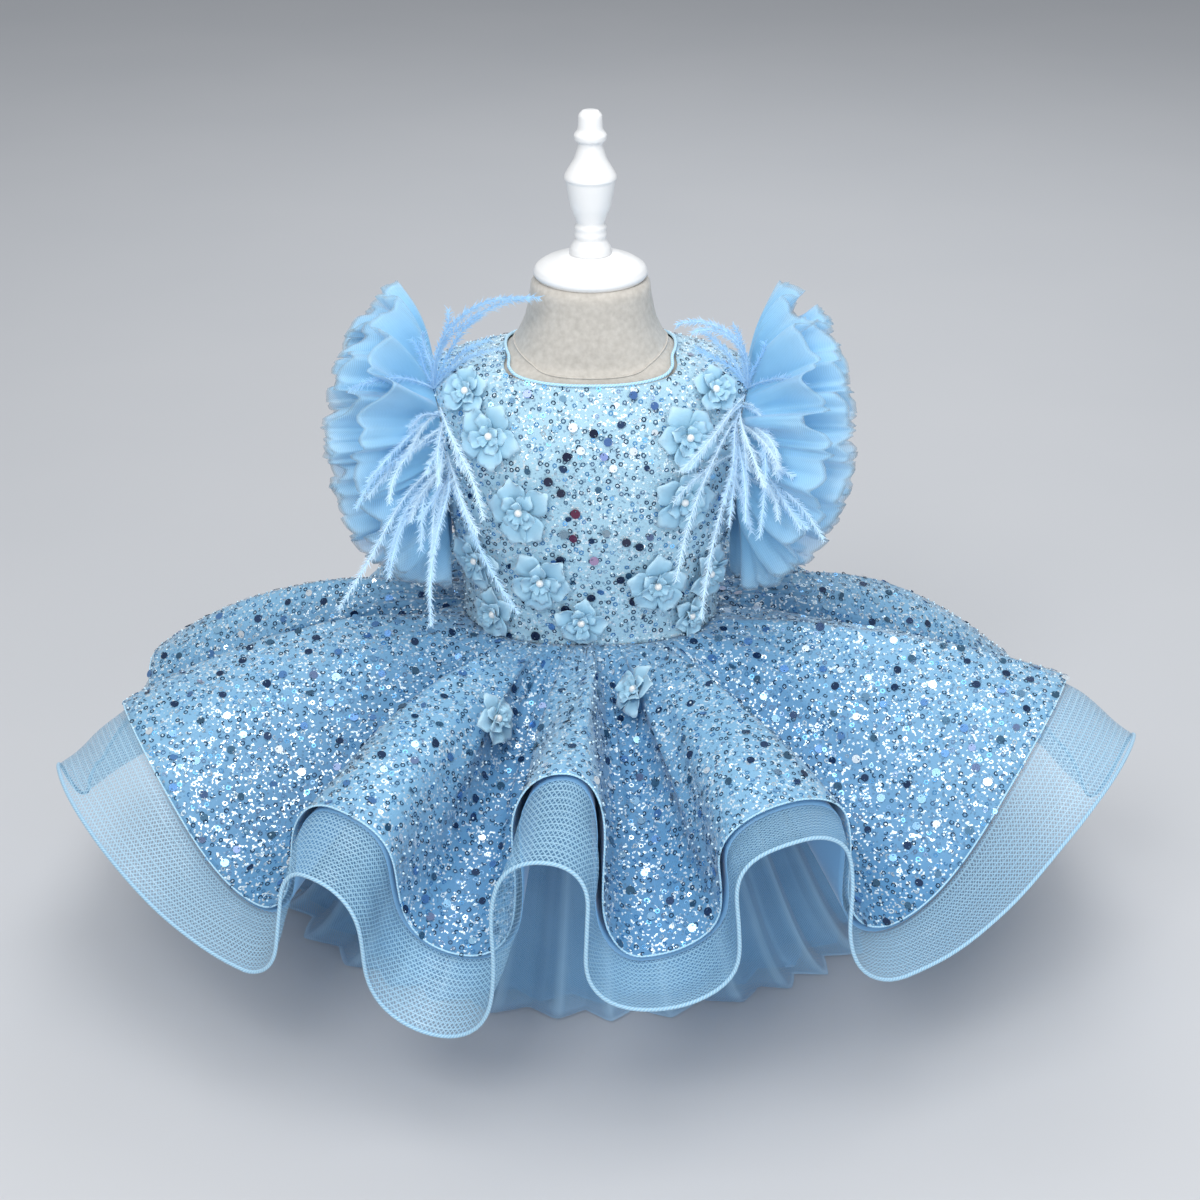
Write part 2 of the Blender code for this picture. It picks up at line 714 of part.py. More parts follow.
def flower(name, row):
    """Cupped five-petal flower with a raised pearl, as one thin solid."""
    azimuth = body_azimuth(row.x, row.z)
    normal = body_normal(azimuth, row.z)
    centre = body_point(azimuth, row.z) + normal * (CLOTH + SEAM)
    side = normal.cross(Vector((0.0, 0.0, 1.0))).normalized()
    up = side.cross(normal).normalized()
    bm = bmesh.new()

    def place(distance, angle, rise):
        return bm.verts.new(centre + (side * math.cos(angle) + up * math.sin(angle)) * distance + normal * rise)

    crown = place(0.0, 0.0, PEARL_TOP)
    base = place(0.0, 0.0, 0.0)
    front = petal_ring(row, 1.0, PETAL_CUP)
    collar = [place(PEARL_RADIUS, angle, PEARL_FOOT) for _, angle, _ in front]
    rim = [place(*corner) for corner in front]
    back = [place(d, angle, rise - CLOTH) for d, angle, rise in petal_ring(row, PETAL_BACK_SCALE, PETAL_CUP)]
    for k in range(len(rim)):
        j = (k + 1) % len(rim)
        bm.faces.new((crown, collar[k], collar[j]))
        for low, high in ((collar, rim), (rim, back)):
            bm.faces.new((low[k], high[k], high[j]))
            bm.faces.new((low[k], high[j], low[j]))
        bm.faces.new((back[k], base, back[j]))
    return add_object(name, bm, "chiffon")


def make_flowers():
    """Flowers over the bodice and along the waist seam."""
    for number, row in enumerate(FLOWERS, 1):
        flower(f"flower_{number:02d}", row)


def frond_settings(label, order, rng):
    """Path of one frond: the named ones rise, the rest fall over the sleeve."""
    if order < len(RISING_FRONDS[label]):
        return RISING_FRONDS[label][order]
    share = order / (FROND_COUNT - 1)
    return Frond(
        out=FALLING_OUT[order % 2],
        forward=0.90,
        up=mix(*FALLING_UP, share),
        length=rng.uniform(*FALLING_LENGTH),
        inward=0.0,
        down=FALLING_DOWN,
    )


def tape_edges(side):
    """Long edges of the tape's square section: near and far from the neck, then the raised pair."""
    cells = FROND_COUNT * 2 - 1
    edges = []
    for shift, lift in ((-1, 0), (1, 0), (1, 1), (-1, 1)):
        line = []
        for k in range(cells + 1):
            z = mix(TAPE_TOP_Z, TAPE_FOOT_Z, k / cells)
            azimuth = armhole_azimuth(z) - TAPE_AZIMUTH_INSET + shift * TAPE_HALF_SPAN
            place = body_out(azimuth, z, TAPE_LIFT[lift])
            line.append(Vector((place.x * side, place.y, place.z)))
        edges.append(line)
    return edges


def make_feathers():
    """One tuft on each shoulder: fronds rise from every second cell of a narrow tape."""
    for label, side, seed in (("left", -1, 3), ("right", 1, 8)):
        rng = random.Random(seed)
        bm = bmesh.new()
        lines = [[bm.verts.new(p) for p in line] for line in tape_edges(side)]
        low_in, low_out, high_out, high_in = lines
        bm.faces.new([line[0] for line in lines])
        bm.faces.new([line[-1] for line in reversed(lines)])
        for k in range(FROND_COUNT * 2 - 1):
            bm.faces.new((low_in[k], low_in[k + 1], low_out[k + 1], low_out[k]))
            bm.faces.new((low_out[k], low_out[k + 1], high_out[k + 1], high_out[k]))
            bm.faces.new((high_in[k], high_in[k + 1], low_in[k + 1], low_in[k]))
            corners = [high_in[k], high_out[k], high_out[k + 1], high_in[k + 1]]
            if k % 2:
                bm.faces.new(corners)
            else:
                add_frond(bm, corners, frond_settings(label, k // 2, rng), side)
        bmesh.ops.triangulate(bm, faces=[f for f in bm.faces if len(f.verts) > 3])
        add_object(f"feathers_{label}", bm, "feather")


def add_frond(bm, corners, settings, side):
    """Carry a cell's four corners along a drooping path that narrows to its tip."""
    root = sum((v.co for v in corners), Vector()) / 4
    spread = [(v.co - root).normalized() for v in corners]
    start = Vector((settings.out * side, -settings.forward, settings.up)).normalized()
    bend = Vector((-settings.inward * side, 0.0, -settings.down))
    before = (corners[1].co - corners[0].co).cross(corners[3].co - corners[0].co)
    if before.dot(body_out(0.0, root.z, 1.0)) < 0.0:
        before.negate()
    previous = corners
    for step in range(1, FROND_STEPS + 1):
        share = step / FROND_STEPS
        distance = share * settings.length
        centre = root + start * distance + bend * distance * distance
        ahead = (start + bend * 2.0 * distance).normalized()
        size = mix(FROND_ROOT, FROND_TIP, share) / 2
        turn = before.rotation_difference(ahead)
        spread = [turn @ offset for offset in spread]
        before = ahead
        ring = [bm.verts.new(centre + offset * size) for offset in spread]
        for k in range(4):
            j = (k + 1) % 4
            bm.faces.new((previous[k], previous[j], ring[j], ring[k]))
        previous = ring
    bm.faces.new(previous)


def make_zip():
    """Slider of the concealed zip and its pull tab, hinged on a line across the centre back."""
    low, high = (body_point(180.0, z) for z in ZIP_SLOPE_Z)
    upslope = (high - low).normalized()
    outward = upslope.cross(Vector((1.0, 0.0, 0.0)))
    axis = low.lerp(high, ZIP_AXIS_SHARE) + outward * (CLOTH + ZIP_AXIS_LIFT)

    def bar(name, outline, half_width):
        """Straight bar across the back from an outline of (up the slope, away from the back)."""
        bm = bmesh.new()
        ends = []
        for x in (-half_width, half_width):
            across = Vector((x, 0.0, 0.0))
            ends.append([bm.verts.new(across + upslope * s + outward * h) for s, h in outline])
        for k in range(len(outline)):
            j = (k + 1) % len(outline)
            bm.faces.new((ends[0][k], ends[0][j], ends[1][j], ends[1][k]))
        bm.faces.new(ends[0])
        bm.faces.new(list(reversed(ends[1])))
        made = add_object(name, bm, "enamelled_metal")
        made.location = axis
        return made

    knuckle = []
    for k in range(ZIP_KNUCKLE_CORNERS):
        angle = math.radians(mix(*ZIP_KNUCKLE_ANGLES, k / (ZIP_KNUCKLE_CORNERS - 1)))
        knuckle.append((ZIP_KNUCKLE * math.cos(angle), ZIP_KNUCKLE * math.sin(angle)))
    near, far = ZIP_SLIDER_REACH
    sole = ZIP_SLIDER_GAP - ZIP_AXIS_LIFT
    slider = [(far, sole), (far, ZIP_SLIDER_TOP), (near, ZIP_SLIDER_TOP), *knuckle, (near, sole)]
    bar("zip_slider", slider, ZIP_SLIDER_HALF_WIDTH)
    start = -ZIP_KNUCKLE - ZIP_TAB_GAP
    half = ZIP_TAB_THICKNESS / 2
    end = start - ZIP_TAB_LENGTH
    bar("zip_pull_tab", [(start, -half), (start, half), (end, half), (end, -half)], ZIP_TAB_HALF_WIDTH)


def main():
    clear_scene()
    make_form()
    make_bodice()
    make_skirt()
    make_petticoat()
    make_sleeves()
    make_flowers()
    make_feathers()
    make_zip()


main()
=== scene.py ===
"""Looks of a toddler's feather party dress on a limbless dress form.

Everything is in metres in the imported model's frame: +Z up, the dress faces -Y, and azimuths
are in degrees from the front round to +X.
"""

from __future__ import annotations

import json
import logging
import math
from bisect import bisect_right
from collections.abc import Callable, Iterable, Sequence
from dataclasses import dataclass, field
from enum import Enum
from itertools import product

import bmesh
import bpy
import numpy as np
from mathutils import Matrix, Vector, noise

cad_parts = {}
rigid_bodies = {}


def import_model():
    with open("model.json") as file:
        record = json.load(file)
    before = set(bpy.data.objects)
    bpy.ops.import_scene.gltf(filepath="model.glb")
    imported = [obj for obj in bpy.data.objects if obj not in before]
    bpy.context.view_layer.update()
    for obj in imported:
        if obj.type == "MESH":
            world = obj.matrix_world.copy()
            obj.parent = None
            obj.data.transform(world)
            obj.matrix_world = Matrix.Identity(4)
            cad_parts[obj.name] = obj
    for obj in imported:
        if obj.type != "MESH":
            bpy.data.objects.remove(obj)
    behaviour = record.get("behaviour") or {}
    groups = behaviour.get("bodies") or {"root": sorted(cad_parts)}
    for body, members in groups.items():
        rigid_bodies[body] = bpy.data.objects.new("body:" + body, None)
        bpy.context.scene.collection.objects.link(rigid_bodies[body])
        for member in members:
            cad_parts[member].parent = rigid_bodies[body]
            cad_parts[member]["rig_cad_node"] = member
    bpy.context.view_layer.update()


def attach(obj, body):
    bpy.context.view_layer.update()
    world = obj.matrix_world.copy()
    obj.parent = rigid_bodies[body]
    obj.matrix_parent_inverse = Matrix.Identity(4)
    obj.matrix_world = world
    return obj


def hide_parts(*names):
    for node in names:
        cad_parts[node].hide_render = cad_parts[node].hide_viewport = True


log = logging.getLogger("feather_dress")

BODY = "dress"
TAB = "pull_tab"
MERGE = 1e-6
Place = Callable[[float, float], Vector]
Profile = tuple[tuple[float, float], ...]


class Side(Enum):
    """Side of the dress as a person who looks at its front sees it."""

    LEFT = -1
    RIGHT = 1


class Speck(Enum):
    """Kinds of small trim that are sewn to the net in great numbers."""

    RING = "ring"
    DISC = "disc"
    PEARL = "pearl"


def mix(first: float, second: float, share: float) -> float:
    """Value at a share of the way from first to second."""
    return first + (second - first) * share


def bump_between(value: float, low: float, high: float) -> float:
    """Smooth hump that is 0 at low and high and 1 half-way.

    Args:
        value: Place.
        low: Where the hump starts.
        high: Where it ends.

    Returns:
        Its height there.
    """
    if not low < value < high:
        return 0.0
    return math.sin(math.pi * (value - low) / (high - low)) ** 2


class Wire:
    """A shader socket that takes part in Python sums."""

    def __init__(self, graph: Graph, socket: bpy.types.NodeSocket) -> None:
        """Wrap a socket of a graph."""
        self.graph = graph
        self.socket = socket

    def _math(self, operation: str, first: Wire | float, second: Wire | float) -> Wire:
        """Add one Math node."""
        return self.graph.node("ShaderNodeMath", {"operation": operation}, {0: first, 1: second})

    def __add__(self, other: Wire | float) -> Wire:
        """Sum."""
        return self._math("ADD", self, other)

    __radd__ = __add__

    def __sub__(self, other: Wire | float) -> Wire:
        """Difference."""
        return self._math("SUBTRACT", self, other)

    def __rsub__(self, other: float) -> Wire:
        """Difference from a number."""
        return self._math("SUBTRACT", other, self)

    def __mul__(self, other: Wire | float) -> Wire:
        """Product."""
        return self._math("MULTIPLY", self, other)

    __rmul__ = __mul__

    def __pow__(self, other: Wire | float) -> Wire:
        """Power."""
        return self._math("POWER", self, other)

    def __gt__(self, other: Wire | float) -> Wire:
        """1 where this is greater."""
        return self._math("GREATER_THAN", self, other)

    def most(self, other: Wire | float) -> Wire:
        """Greater of the two."""
        return self._math("MAXIMUM", self, other)

    def sine(self) -> Wire:
        """Sine in radians."""
        return self._math("SINE", self, 0.0)

    def absolute(self) -> Wire:
        """Value without its sign."""
        return self._math("ABSOLUTE", self, 0.0)


Colour = tuple[float, float, float]


class Graph:
    """Node graph of one material, ending in a Principled shader."""

    def __init__(self, name: str) -> None:
        """Start an empty material of that name."""
        self.material = bpy.data.materials.new(name)
        self.material.use_nodes = True
        self.tree = self.material.node_tree
        self.tree.nodes.clear()
        self.shader = self.tree.nodes.new("ShaderNodeBsdfPrincipled")
        out = self.tree.nodes.new("ShaderNodeOutputMaterial")
        self.tree.links.new(self.shader.outputs[0], out.inputs[0])

    def node(
        self,
        kind: str,
        settings: dict[str, object] | None = None,
        inputs: dict[int | str, object] | None = None,
        output: int | str = 0,
    ) -> Wire:
        """Add one node.

        Args:
            kind: The node's type name.
            settings: Its properties, or "stops" for a ramp's (place, colour) pairs.
            inputs: Values or wires of its sockets.
            output: The socket that is returned.

        Returns:
            The chosen output as a wire.
        """
        made = self.tree.nodes.new(kind)
        for name, value in (settings or {}).items():
            if name == "stops":
                self._fill_ramp(made, value)
            else:
                setattr(made, name, value)
        for key, value in (inputs or {}).items():
            if isinstance(value, Wire):
                self.tree.links.new(value.socket, made.inputs[key])
            else:
                made.inputs[key].default_value = value
        return Wire(self, made.outputs[output])

    @staticmethod
    def _fill_ramp(ramp: bpy.types.Node, stops: Sequence[tuple[float, Colour]]) -> None:
        """Set a colour ramp's stops.

        Args:
            ramp: Ramp's node.
            stops: Its (place, colour) pairs.
        """
        elements = ramp.color_ramp.elements
        while len(elements) < len(stops):
            elements.new(1.0)
        for element, (place, colour) in zip(elements, stops):
            element.position = place
            element.color = (*colour, 1.0)

    def ramp(self, factor: Wire, stops: Sequence[tuple[float, Colour]], sharp: bool = False) -> Wire:
        """Colour by factor.

        Args:
            factor: Place on the ramp.
            stops: Its (place, colour) pairs.
            sharp: Whether the colours keep hard edges.

        Returns:
            Colour.
        """
        made = self.node("ShaderNodeValToRGB", {"stops": stops}, {0: factor})
        if sharp:
            made.socket.node.color_ramp.interpolation = "CONSTANT"
        return made

    def blend(self, factor: Wire, first: Wire | Colour, second: Wire | Colour) -> Wire:
        """Mix two colours by factor.

        Args:
            factor: Second colour's share.
            first: First colour.
            second: Second colour.

        Returns:
            Mixed colour.
        """
        ends = [c if isinstance(c, Wire) else (*c, 1.0) for c in (first, second)]
        settings = {"data_type": "RGBA", "clamp_factor": True}
        return self.node("ShaderNodeMix", settings, {0: factor, 6: ends[0], 7: ends[1]}, output=2)

    def place(self) -> Wire:
        """Object coordinates."""
        return self.node("ShaderNodeTexCoord", output="Object")

    def flat(self) -> tuple[Wire, Wire]:
        """The cloth's own lengths in metres: round the piece and down it."""
        uv = self.node("ShaderNodeUVMap", {"uv_map": "UVMap"})
        split = self.node("ShaderNodeSeparateXYZ", inputs={0: uv})
        return split, Wire(self, split.socket.node.outputs[1])

    def share(self, attribute: str) -> Wire:
        """Value of one of the mesh's attributes."""
        return self.node("ShaderNodeAttribute", {"attribute_name": attribute}, output="Fac")

    def noise(self, scale: float, detail: float = 2.0, where: Wire | None = None) -> Wire:
        """Fractal noise from 0 to 1."""
        inputs = {"Vector": where or self.place(), "Scale": scale, "Detail": detail}
        return self.node("ShaderNodeTexNoise", inputs=inputs)

    def cells(self, scale: float, output: str = "Distance", where: Wire | None = None) -> Wire:
        """Voronoi cells."""
        inputs = {"Vector": where or self.place(), "Scale": scale}
        return self.node("ShaderNodeTexVoronoi", inputs=inputs, output=output)

    def bump(self, height: Wire, strength: float, distance: float) -> Wire:
        """Normal from a height."""
        inputs = {"Height": height, "Strength": strength, "Distance": distance}
        return self.node("ShaderNodeBump", inputs=inputs)

    def dress(self, **sockets: object) -> bpy.types.Material:
        """Fill the Principled shader's sockets.

        Args:
            **sockets: Socket names with _ for a space, and a value or a wire.

        Returns:
            The finished material.
        """
        for name, value in sockets.items():
            socket = self.shader.inputs[name.replace("_", " ")]
            if isinstance(value, Wire):
                self.tree.links.new(value.socket, socket)
            else:
                socket.default_value = (*value, 1.0) if isinstance(value, tuple) else value
        return self.material


@dataclass(frozen=True)
class Satin:
    """Plain blue lining cloth with a soft sheen."""

    name: str = "satin"
    slot: str = "satin"
    colour: Colour = (0.205, 0.440, 0.700)
    shade: Colour = (0.150, 0.355, 0.610)
    weave: float = 9000.0

    def build(self) -> bpy.types.Material:
        """Make the material."""
        g = Graph(self.name)
        drift = g.noise(9.0, 3.0)
        across, down = g.flat()
        weave = (across * self.weave).sine() * (down * self.weave).sine()
        height = weave * 0.4 + g.noise(900.0)
        return g.dress(
            Base_Color=g.blend(drift, self.shade, self.colour),
            Roughness=drift * 0.14 + 0.42,
            Sheen_Weight=0.35,
            Sheen_Roughness=0.4,
            Normal=g.bump(height, 0.18, 0.0003),
        )


@dataclass(frozen=True)
class SequinNet:
    """Soft net with fine glitter, over which the sequins and beads are sewn, with painted fold shade."""

    name: str
    colour: Colour
    shade: Colour
    opacity: float
    slot: str = "sequinned_net"
    glint: Colour = (0.80, 0.93, 1.0)
    ink: Colour = (0.07, 0.17, 0.30)
    glint_level: float = 0.86
    ink_level: float = 0.90
    flecks: float = 620.0
    mesh: float = 2600.0

    def build(self) -> bpy.types.Material:
        """Make the material."""
        g = Graph(self.name)
        drift = g.noise(14.0, 3.0)
        # Painted fold shade: the edge attribute paints the net paler on the skirt's crests and darker in
        # its troughs; the bodice holds it half-way.
        crest = g.share("edge")
        body = g.blend(drift * 0.45 + crest * 0.80 - 0.12, self.shade, self.colour)
        fleck = g.node("ShaderNodeSeparateColor", inputs={0: g.cells(self.flecks, "Color")})
        spark = fleck > self.glint_level
        dark = Wire(g, fleck.socket.node.outputs[1]) > self.ink_level
        glitter = g.blend(spark * 0.85, body, self.glint)
        glitter = g.blend(dark * 0.55, glitter, self.ink)
        across, down = g.flat()
        net = ((across + down) * self.mesh).sine() * ((across - down) * self.mesh).sine()
        return g.dress(
            Base_Color=glitter,
            Roughness=0.50 - spark * 0.30,
            Metallic=spark * 0.35,
            Alpha=net.absolute() * (1.0 - self.opacity) * 0.8 + self.opacity + spark * 0.2,
            Sheen_Weight=0.25,
            Normal=g.bump(fleck + net * 0.3, 0.45, 0.0006),
        )


@dataclass(frozen=True)
class Horsehair:
    """Stiff open braid of clear blue threads that cross at a slant."""

    name: str = "horsehair"
    slot: str = "horsehair_braid"
    colour: Colour = (0.16, 0.42, 0.70)
    thread: Colour = (0.42, 0.69, 0.88)
    pitch: float = 0.0027

    def build(self) -> bpy.types.Material:
        """Make the material."""
        g = Graph(self.name)
        across, down = g.flat()
        turn = math.pi / self.pitch
        first = ((across * 0.80 + down * 0.60) * turn).sine().absolute()
        second = ((across * 0.80 - down * 0.60) * turn).sine().absolute()
        third = (down * turn * 0.5).sine().absolute()
        thread = first.most(second) ** 6.0
        thread = thread.most(third**14.0)
        drift = g.noise(18.0, 2.0)
        return g.dress(
            Base_Color=g.blend(thread, self.colour, self.thread),
            Roughness=0.30,
            Alpha=thread * 0.50 + 0.16 + drift * 0.10,
            Coat_Weight=0.2,
            Normal=g.bump(thread, 0.5, 0.0004),
        )


@dataclass(frozen=True)
class Tulle:
    """Fine soft net, paler and clearer at its folded edge; on the petticoat the paler tint is a painted
    highlight on its fold ridges.
    """

    name: str
    colour: Colour
    light: Colour
    opacity: float
    clearing: float
    slot: str = "tulle"
    rim_tint_and_painted_highlight: Colour = (0.60, 0.84, 1.0)
    mesh: float = 2050.0

    def build(self) -> bpy.types.Material:
        """Make the material."""
        g = Graph(self.name)
        across, down = g.flat()
        first = ((across + down) * self.mesh).sine().absolute()
        second = ((across - down) * self.mesh).sine().absolute()
        net = first.most(second) ** 5.0
        # Painted highlight: the paler tint follows the edge attribute, which marks the petticoat's fold
        # ridges and the ruffles' folded rims.
        edge = g.share("edge")
        drift = g.noise(26.0, 2.0)
        body = g.blend(drift, self.colour, self.light)
        return g.dress(
            Base_Color=g.blend(edge * 0.6, body, self.rim_tint_and_painted_highlight),
            Roughness=0.72,
            Alpha=net * 0.20 + self.opacity - edge * self.clearing + drift * 0.08,
            Sheen_Weight=0.5,
            Sheen_Roughness=0.5,
        )


@dataclass(frozen=True)
class Braid:
    """Close herringbone cord sewn into an edge, with painted shade in the grooves between its plies."""

    name: str
    slot: str
    colour: Colour
    light: Colour
    pitch: float = 0.0026

    def build(self) -> bpy.types.Material:
        """Make the material."""
        g = Graph(self.name)
        across, down = g.flat()
        turn = math.tau / self.pitch
        # Painted shade: the plies are painted paler on their ridges and darker in the grooves, following
        # the same wave as the bump.
        ply_relief_and_groove_shade = ((across + down.absolute() * 0.8) * turn).sine() * 0.5 + 0.5
        return g.dress(
            Base_Color=g.blend(ply_relief_and_groove_shade, self.colour, self.light),
            Roughness=0.55,
            Sheen_Weight=0.3,
            Normal=g.bump(ply_relief_and_groove_shade, 0.6, 0.0006),
        )


@dataclass(frozen=True)
class Foil:
    """Thin sequin foil whose tint differs from piece to piece."""

    name: str
    stops: tuple[tuple[float, Colour], ...]
    metallic: float = 0.75
    roughness: float = 0.24
    slot: str = "sequinned_net"

    def build(self) -> bpy.types.Material:
        """Make the material."""
        g = Graph(self.name)
        tone = g.share("tone")
        return g.dress(
            Base_Color=g.ramp(tone, self.stops, sharp=True),
            Metallic=self.metallic,
            Roughness=self.roughness,
            Coat_Weight=0.4,
            Coat_Roughness=0.1,
        )


@dataclass(frozen=True)
class Pearl:
    """Lustrous bead."""

    name: str = "pearl"
    slot: str = "sequinned_net"
    shade: Colour = (0.80, 0.84, 0.86)
    colour: Colour = (0.93, 0.91, 0.86)

    def build(self) -> bpy.types.Material:
        """Make the material."""
        g = Graph(self.name)
        tone = g.noise(160.0, 1.0)
        return g.dress(
            Base_Color=g.blend(tone, self.shade, self.colour),
            Roughness=0.22,
            Coat_Weight=0.7,
            Coat_Roughness=0.06,
            Sheen_Weight=0.2,
        )


@dataclass(frozen=True)
class Plume:
    """Dyed ostrich feather."""

    name: str = "plume"
    slot: str = "feather"
    shade: Colour = (0.28, 0.58, 0.90)
    colour: Colour = (0.74, 0.91, 1.0)

    def build(self) -> bpy.types.Material:
        """Make the material."""
        g = Graph(self.name)
        tone = g.share("tone")
        return g.dress(
            Base_Color=g.blend(tone, self.shade, self.colour),
            Roughness=0.70,
            Sheen_Weight=0.6,
        )


@dataclass(frozen=True)
class Chiffon:
    """Sheer petal, minty and denser at its root, and darker there: the mint is its own colour, the
    darkening partly painted shade.
    """

    name: str = "chiffon"
    slot: str = "chiffon"
    # Darker towards the root: partly the chiffon's mint colour, partly painted shade in the middle of
    # the flower.
    stops: tuple[tuple[float, Colour], ...] = (
        (0.0, (0.26, 0.52, 0.60)),
        (0.30, (0.29, 0.55, 0.72)),
        (0.7, (0.37, 0.64, 0.82)),
        (1.0, (0.54, 0.78, 0.92)),
    )

    def build(self) -> bpy.types.Material:
        """Make the material."""
        g = Graph(self.name)
        reach = g.share("reach")
        drift = g.noise(60.0, 2.0)
        return g.dress(
            Base_Color=g.ramp(reach, self.stops),
            Roughness=0.55,
            Alpha=0.97 - reach * 0.12 + drift * 0.08,
            Sheen_Weight=0.4,
            Normal=g.bump(g.noise(700.0), 0.12, 0.0003),
        )


@dataclass(frozen=True)
class Linen:
    """Undyed plain-weave linen."""

    name: str = "linen"
    slot: str = "linen"
    shade: Colour = (0.40, 0.375, 0.335)
    colour: Colour = (0.66, 0.63, 0.58)
    weave: float = 5200.0

    def build(self) -> bpy.types.Material:
        """Make the material."""
        g = Graph(self.name)
        across, down = g.flat()
        warp = (across * self.weave).sine()
        weft = (down * self.weave).sine()
        slub = g.noise(240.0, 3.0)
        weave = warp * weft * 0.5 + slub
        return g.dress(
            Base_Color=g.blend(slub, self.shade, self.colour),
            Roughness=0.88,
            Sheen_Weight=0.2,
            Normal=g.bump(weave, 0.35, 0.0004),
        )


@dataclass(frozen=True)
class PaintedWood:
    """Turned wood under white satin paint."""

    name: str = "painted_wood"
    slot: str = "painted_wood"
    shade: Colour = (0.80, 0.81, 0.82)
    colour: Colour = (0.90, 0.905, 0.90)

    def build(self) -> bpy.types.Material:
        """Make the material."""
        g = Graph(self.name)
        grain = g.noise(70.0, 4.0)
        wear = g.noise(14.0, 2.0)
        return g.dress(
            Base_Color=g.blend(wear, self.shade, self.colour),
            Roughness=grain * 0.15 + 0.30,
            Coat_Weight=0.25,
            Coat_Roughness=0.2,
            Normal=g.bump(grain, 0.10, 0.0005),
        )


@dataclass(frozen=True)
class Enamel:
    """Blue-painted zip metal with light wear."""

    name: str = "enamel"
    slot: str = "enamelled_metal"
    shade: Colour = (0.24, 0.47, 0.70)
    colour: Colour = (0.42, 0.66, 0.85)

    def build(self) -> bpy.types.Material:
        """Make the material."""
        g = Graph(self.name)
        wear = g.noise(900.0, 3.0)
        return g.dress(
            Base_Color=g.blend(wear, self.shade, self.colour),
            Roughness=wear * 0.2 + 0.25,
            Metallic=0.2,
            Coat_Weight=0.5,
        )


@dataclass(frozen=True)
class StudioFloor:
    """Plain pale studio floor."""

    name: str = "studio_floor"
    slot: str = ""
    shade: Colour = (0.56, 0.575, 0.60)
    colour: Colour = (0.60, 0.61, 0.63)

    def build(self) -> bpy.types.Material:
        """Make the material."""
        g = Graph(self.name)
        return g.dress(
            Base_Color=g.blend(g.noise(3.0), self.shade, self.colour),
            Roughness=0.75,
        )


Cloth = Satin | SequinNet | Horsehair | Tulle | Braid | Chiffon | Linen
Finish = Cloth | Foil | Pearl | Plume | PaintedWood | Enamel | StudioFloor


class Wardrobe:
    """Keeps each finish's material and gives finished pieces to the frame."""

    def __init__(self) -> None:
        """Start with no materials."""
        self._made: dict[str, bpy.types.Material] = {}

    def material(self, finish: Finish) -> bpy.types.Material:
        """The finish's material, made once."""
        if finish.name not in self._made:
            self._made[finish.name] = finish.build()
        return self._made[finish.name]

    def wear(self, piece: bpy.types.Object, *finishes: Finish) -> None:
        """Give a piece its finishes in slot order."""
        piece.data.materials.clear()
        for finish in finishes:
            piece.data.materials.append(self.material(finish))

    def hand_over(
        self,
        piece: bpy.types.Object,
        finishes: Iterable[Finish],
        nodes: Iterable[str] = (),
        body: str = BODY,
    ) -> bpy.types.Object:
        """Dress a piece, put it on its body and let it stand for its nodes.

        Args:
            piece: The finished piece.
            finishes: Its finishes, the main one first.
            nodes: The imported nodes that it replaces.
            body: The body that it moves with.

        Returns:
            The same piece.
        """
        finishes = tuple(finishes)
        self.wear(piece, *finishes)
        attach(piece, body)
        if nodes:
            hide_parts(*nodes)
        log.info("%s: %d faces", piece.name, len(piece.data.polygons))
        return piece


def linked(name: str, data: bpy.types.ID) -> bpy.types.Object:
    """Put a mesh, a light or a camera into the scene."""
    made = bpy.data.objects.new(name, data)
    bpy.context.scene.collection.objects.link(made)
    return made


def toned_object(
    name: str,
    points: Sequence[Vector] | np.ndarray,
    faces: Sequence[tuple[int, ...]],
    tones: Sequence[float] | np.ndarray,
) -> bpy.types.Object:
    """Make an object of many small copies, with a tone for each point.

    Args:
        name: Its name.
        points: Its points.
        faces: Their numbers, by face.
        tones: A number from 0 to 1 for each point.

    Returns:
        The object, at the origin.
    """
    mesh = bpy.data.meshes.new(name)
    mesh.from_pydata(points, [], faces)
    mesh.attributes.new("tone", "FLOAT", "POINT").data.foreach_set("value", tones)
    return linked(name, mesh)


def object_from(bm: bmesh.types.BMesh, name: str, smooth: bool = True) -> bpy.types.Object:
    """Turn a bmesh into a linked object.

    Args:
        bm: The mesh, which is freed.
        name: The object's name.
        smooth: Whether its faces are shaded smooth.

    Returns:
        The new object, at the origin.
    """
    for face in bm.faces:
        face.smooth = smooth
    mesh = bpy.data.meshes.new(name)
    bm.to_mesh(mesh)
    bm.free()
    return linked(name, mesh)


def no_shading_or_tint(u: float, v: float) -> float:
    """Painted fold shading and rim tint of a sheet that has neither."""
    return 0.0


def run_of(points: Sequence[Vector]) -> np.ndarray:
    """Length of a line of points up to each of them."""
    steps = np.linalg.norm(np.diff(np.array(points), axis=0), axis=1)
    return np.concatenate([[0.0], np.cumsum(steps)])


def outward_and_up(point: Vector) -> Vector:
    """The outer side of cloth that surrounds the body."""
    return Vector((point.x, point.y, 0.12))


def upward(point: Vector) -> Vector:
    """Any direction will do for a cord, whose faces are turned out afterwards."""
    return Vector((0.0, 0.0, 1.0))


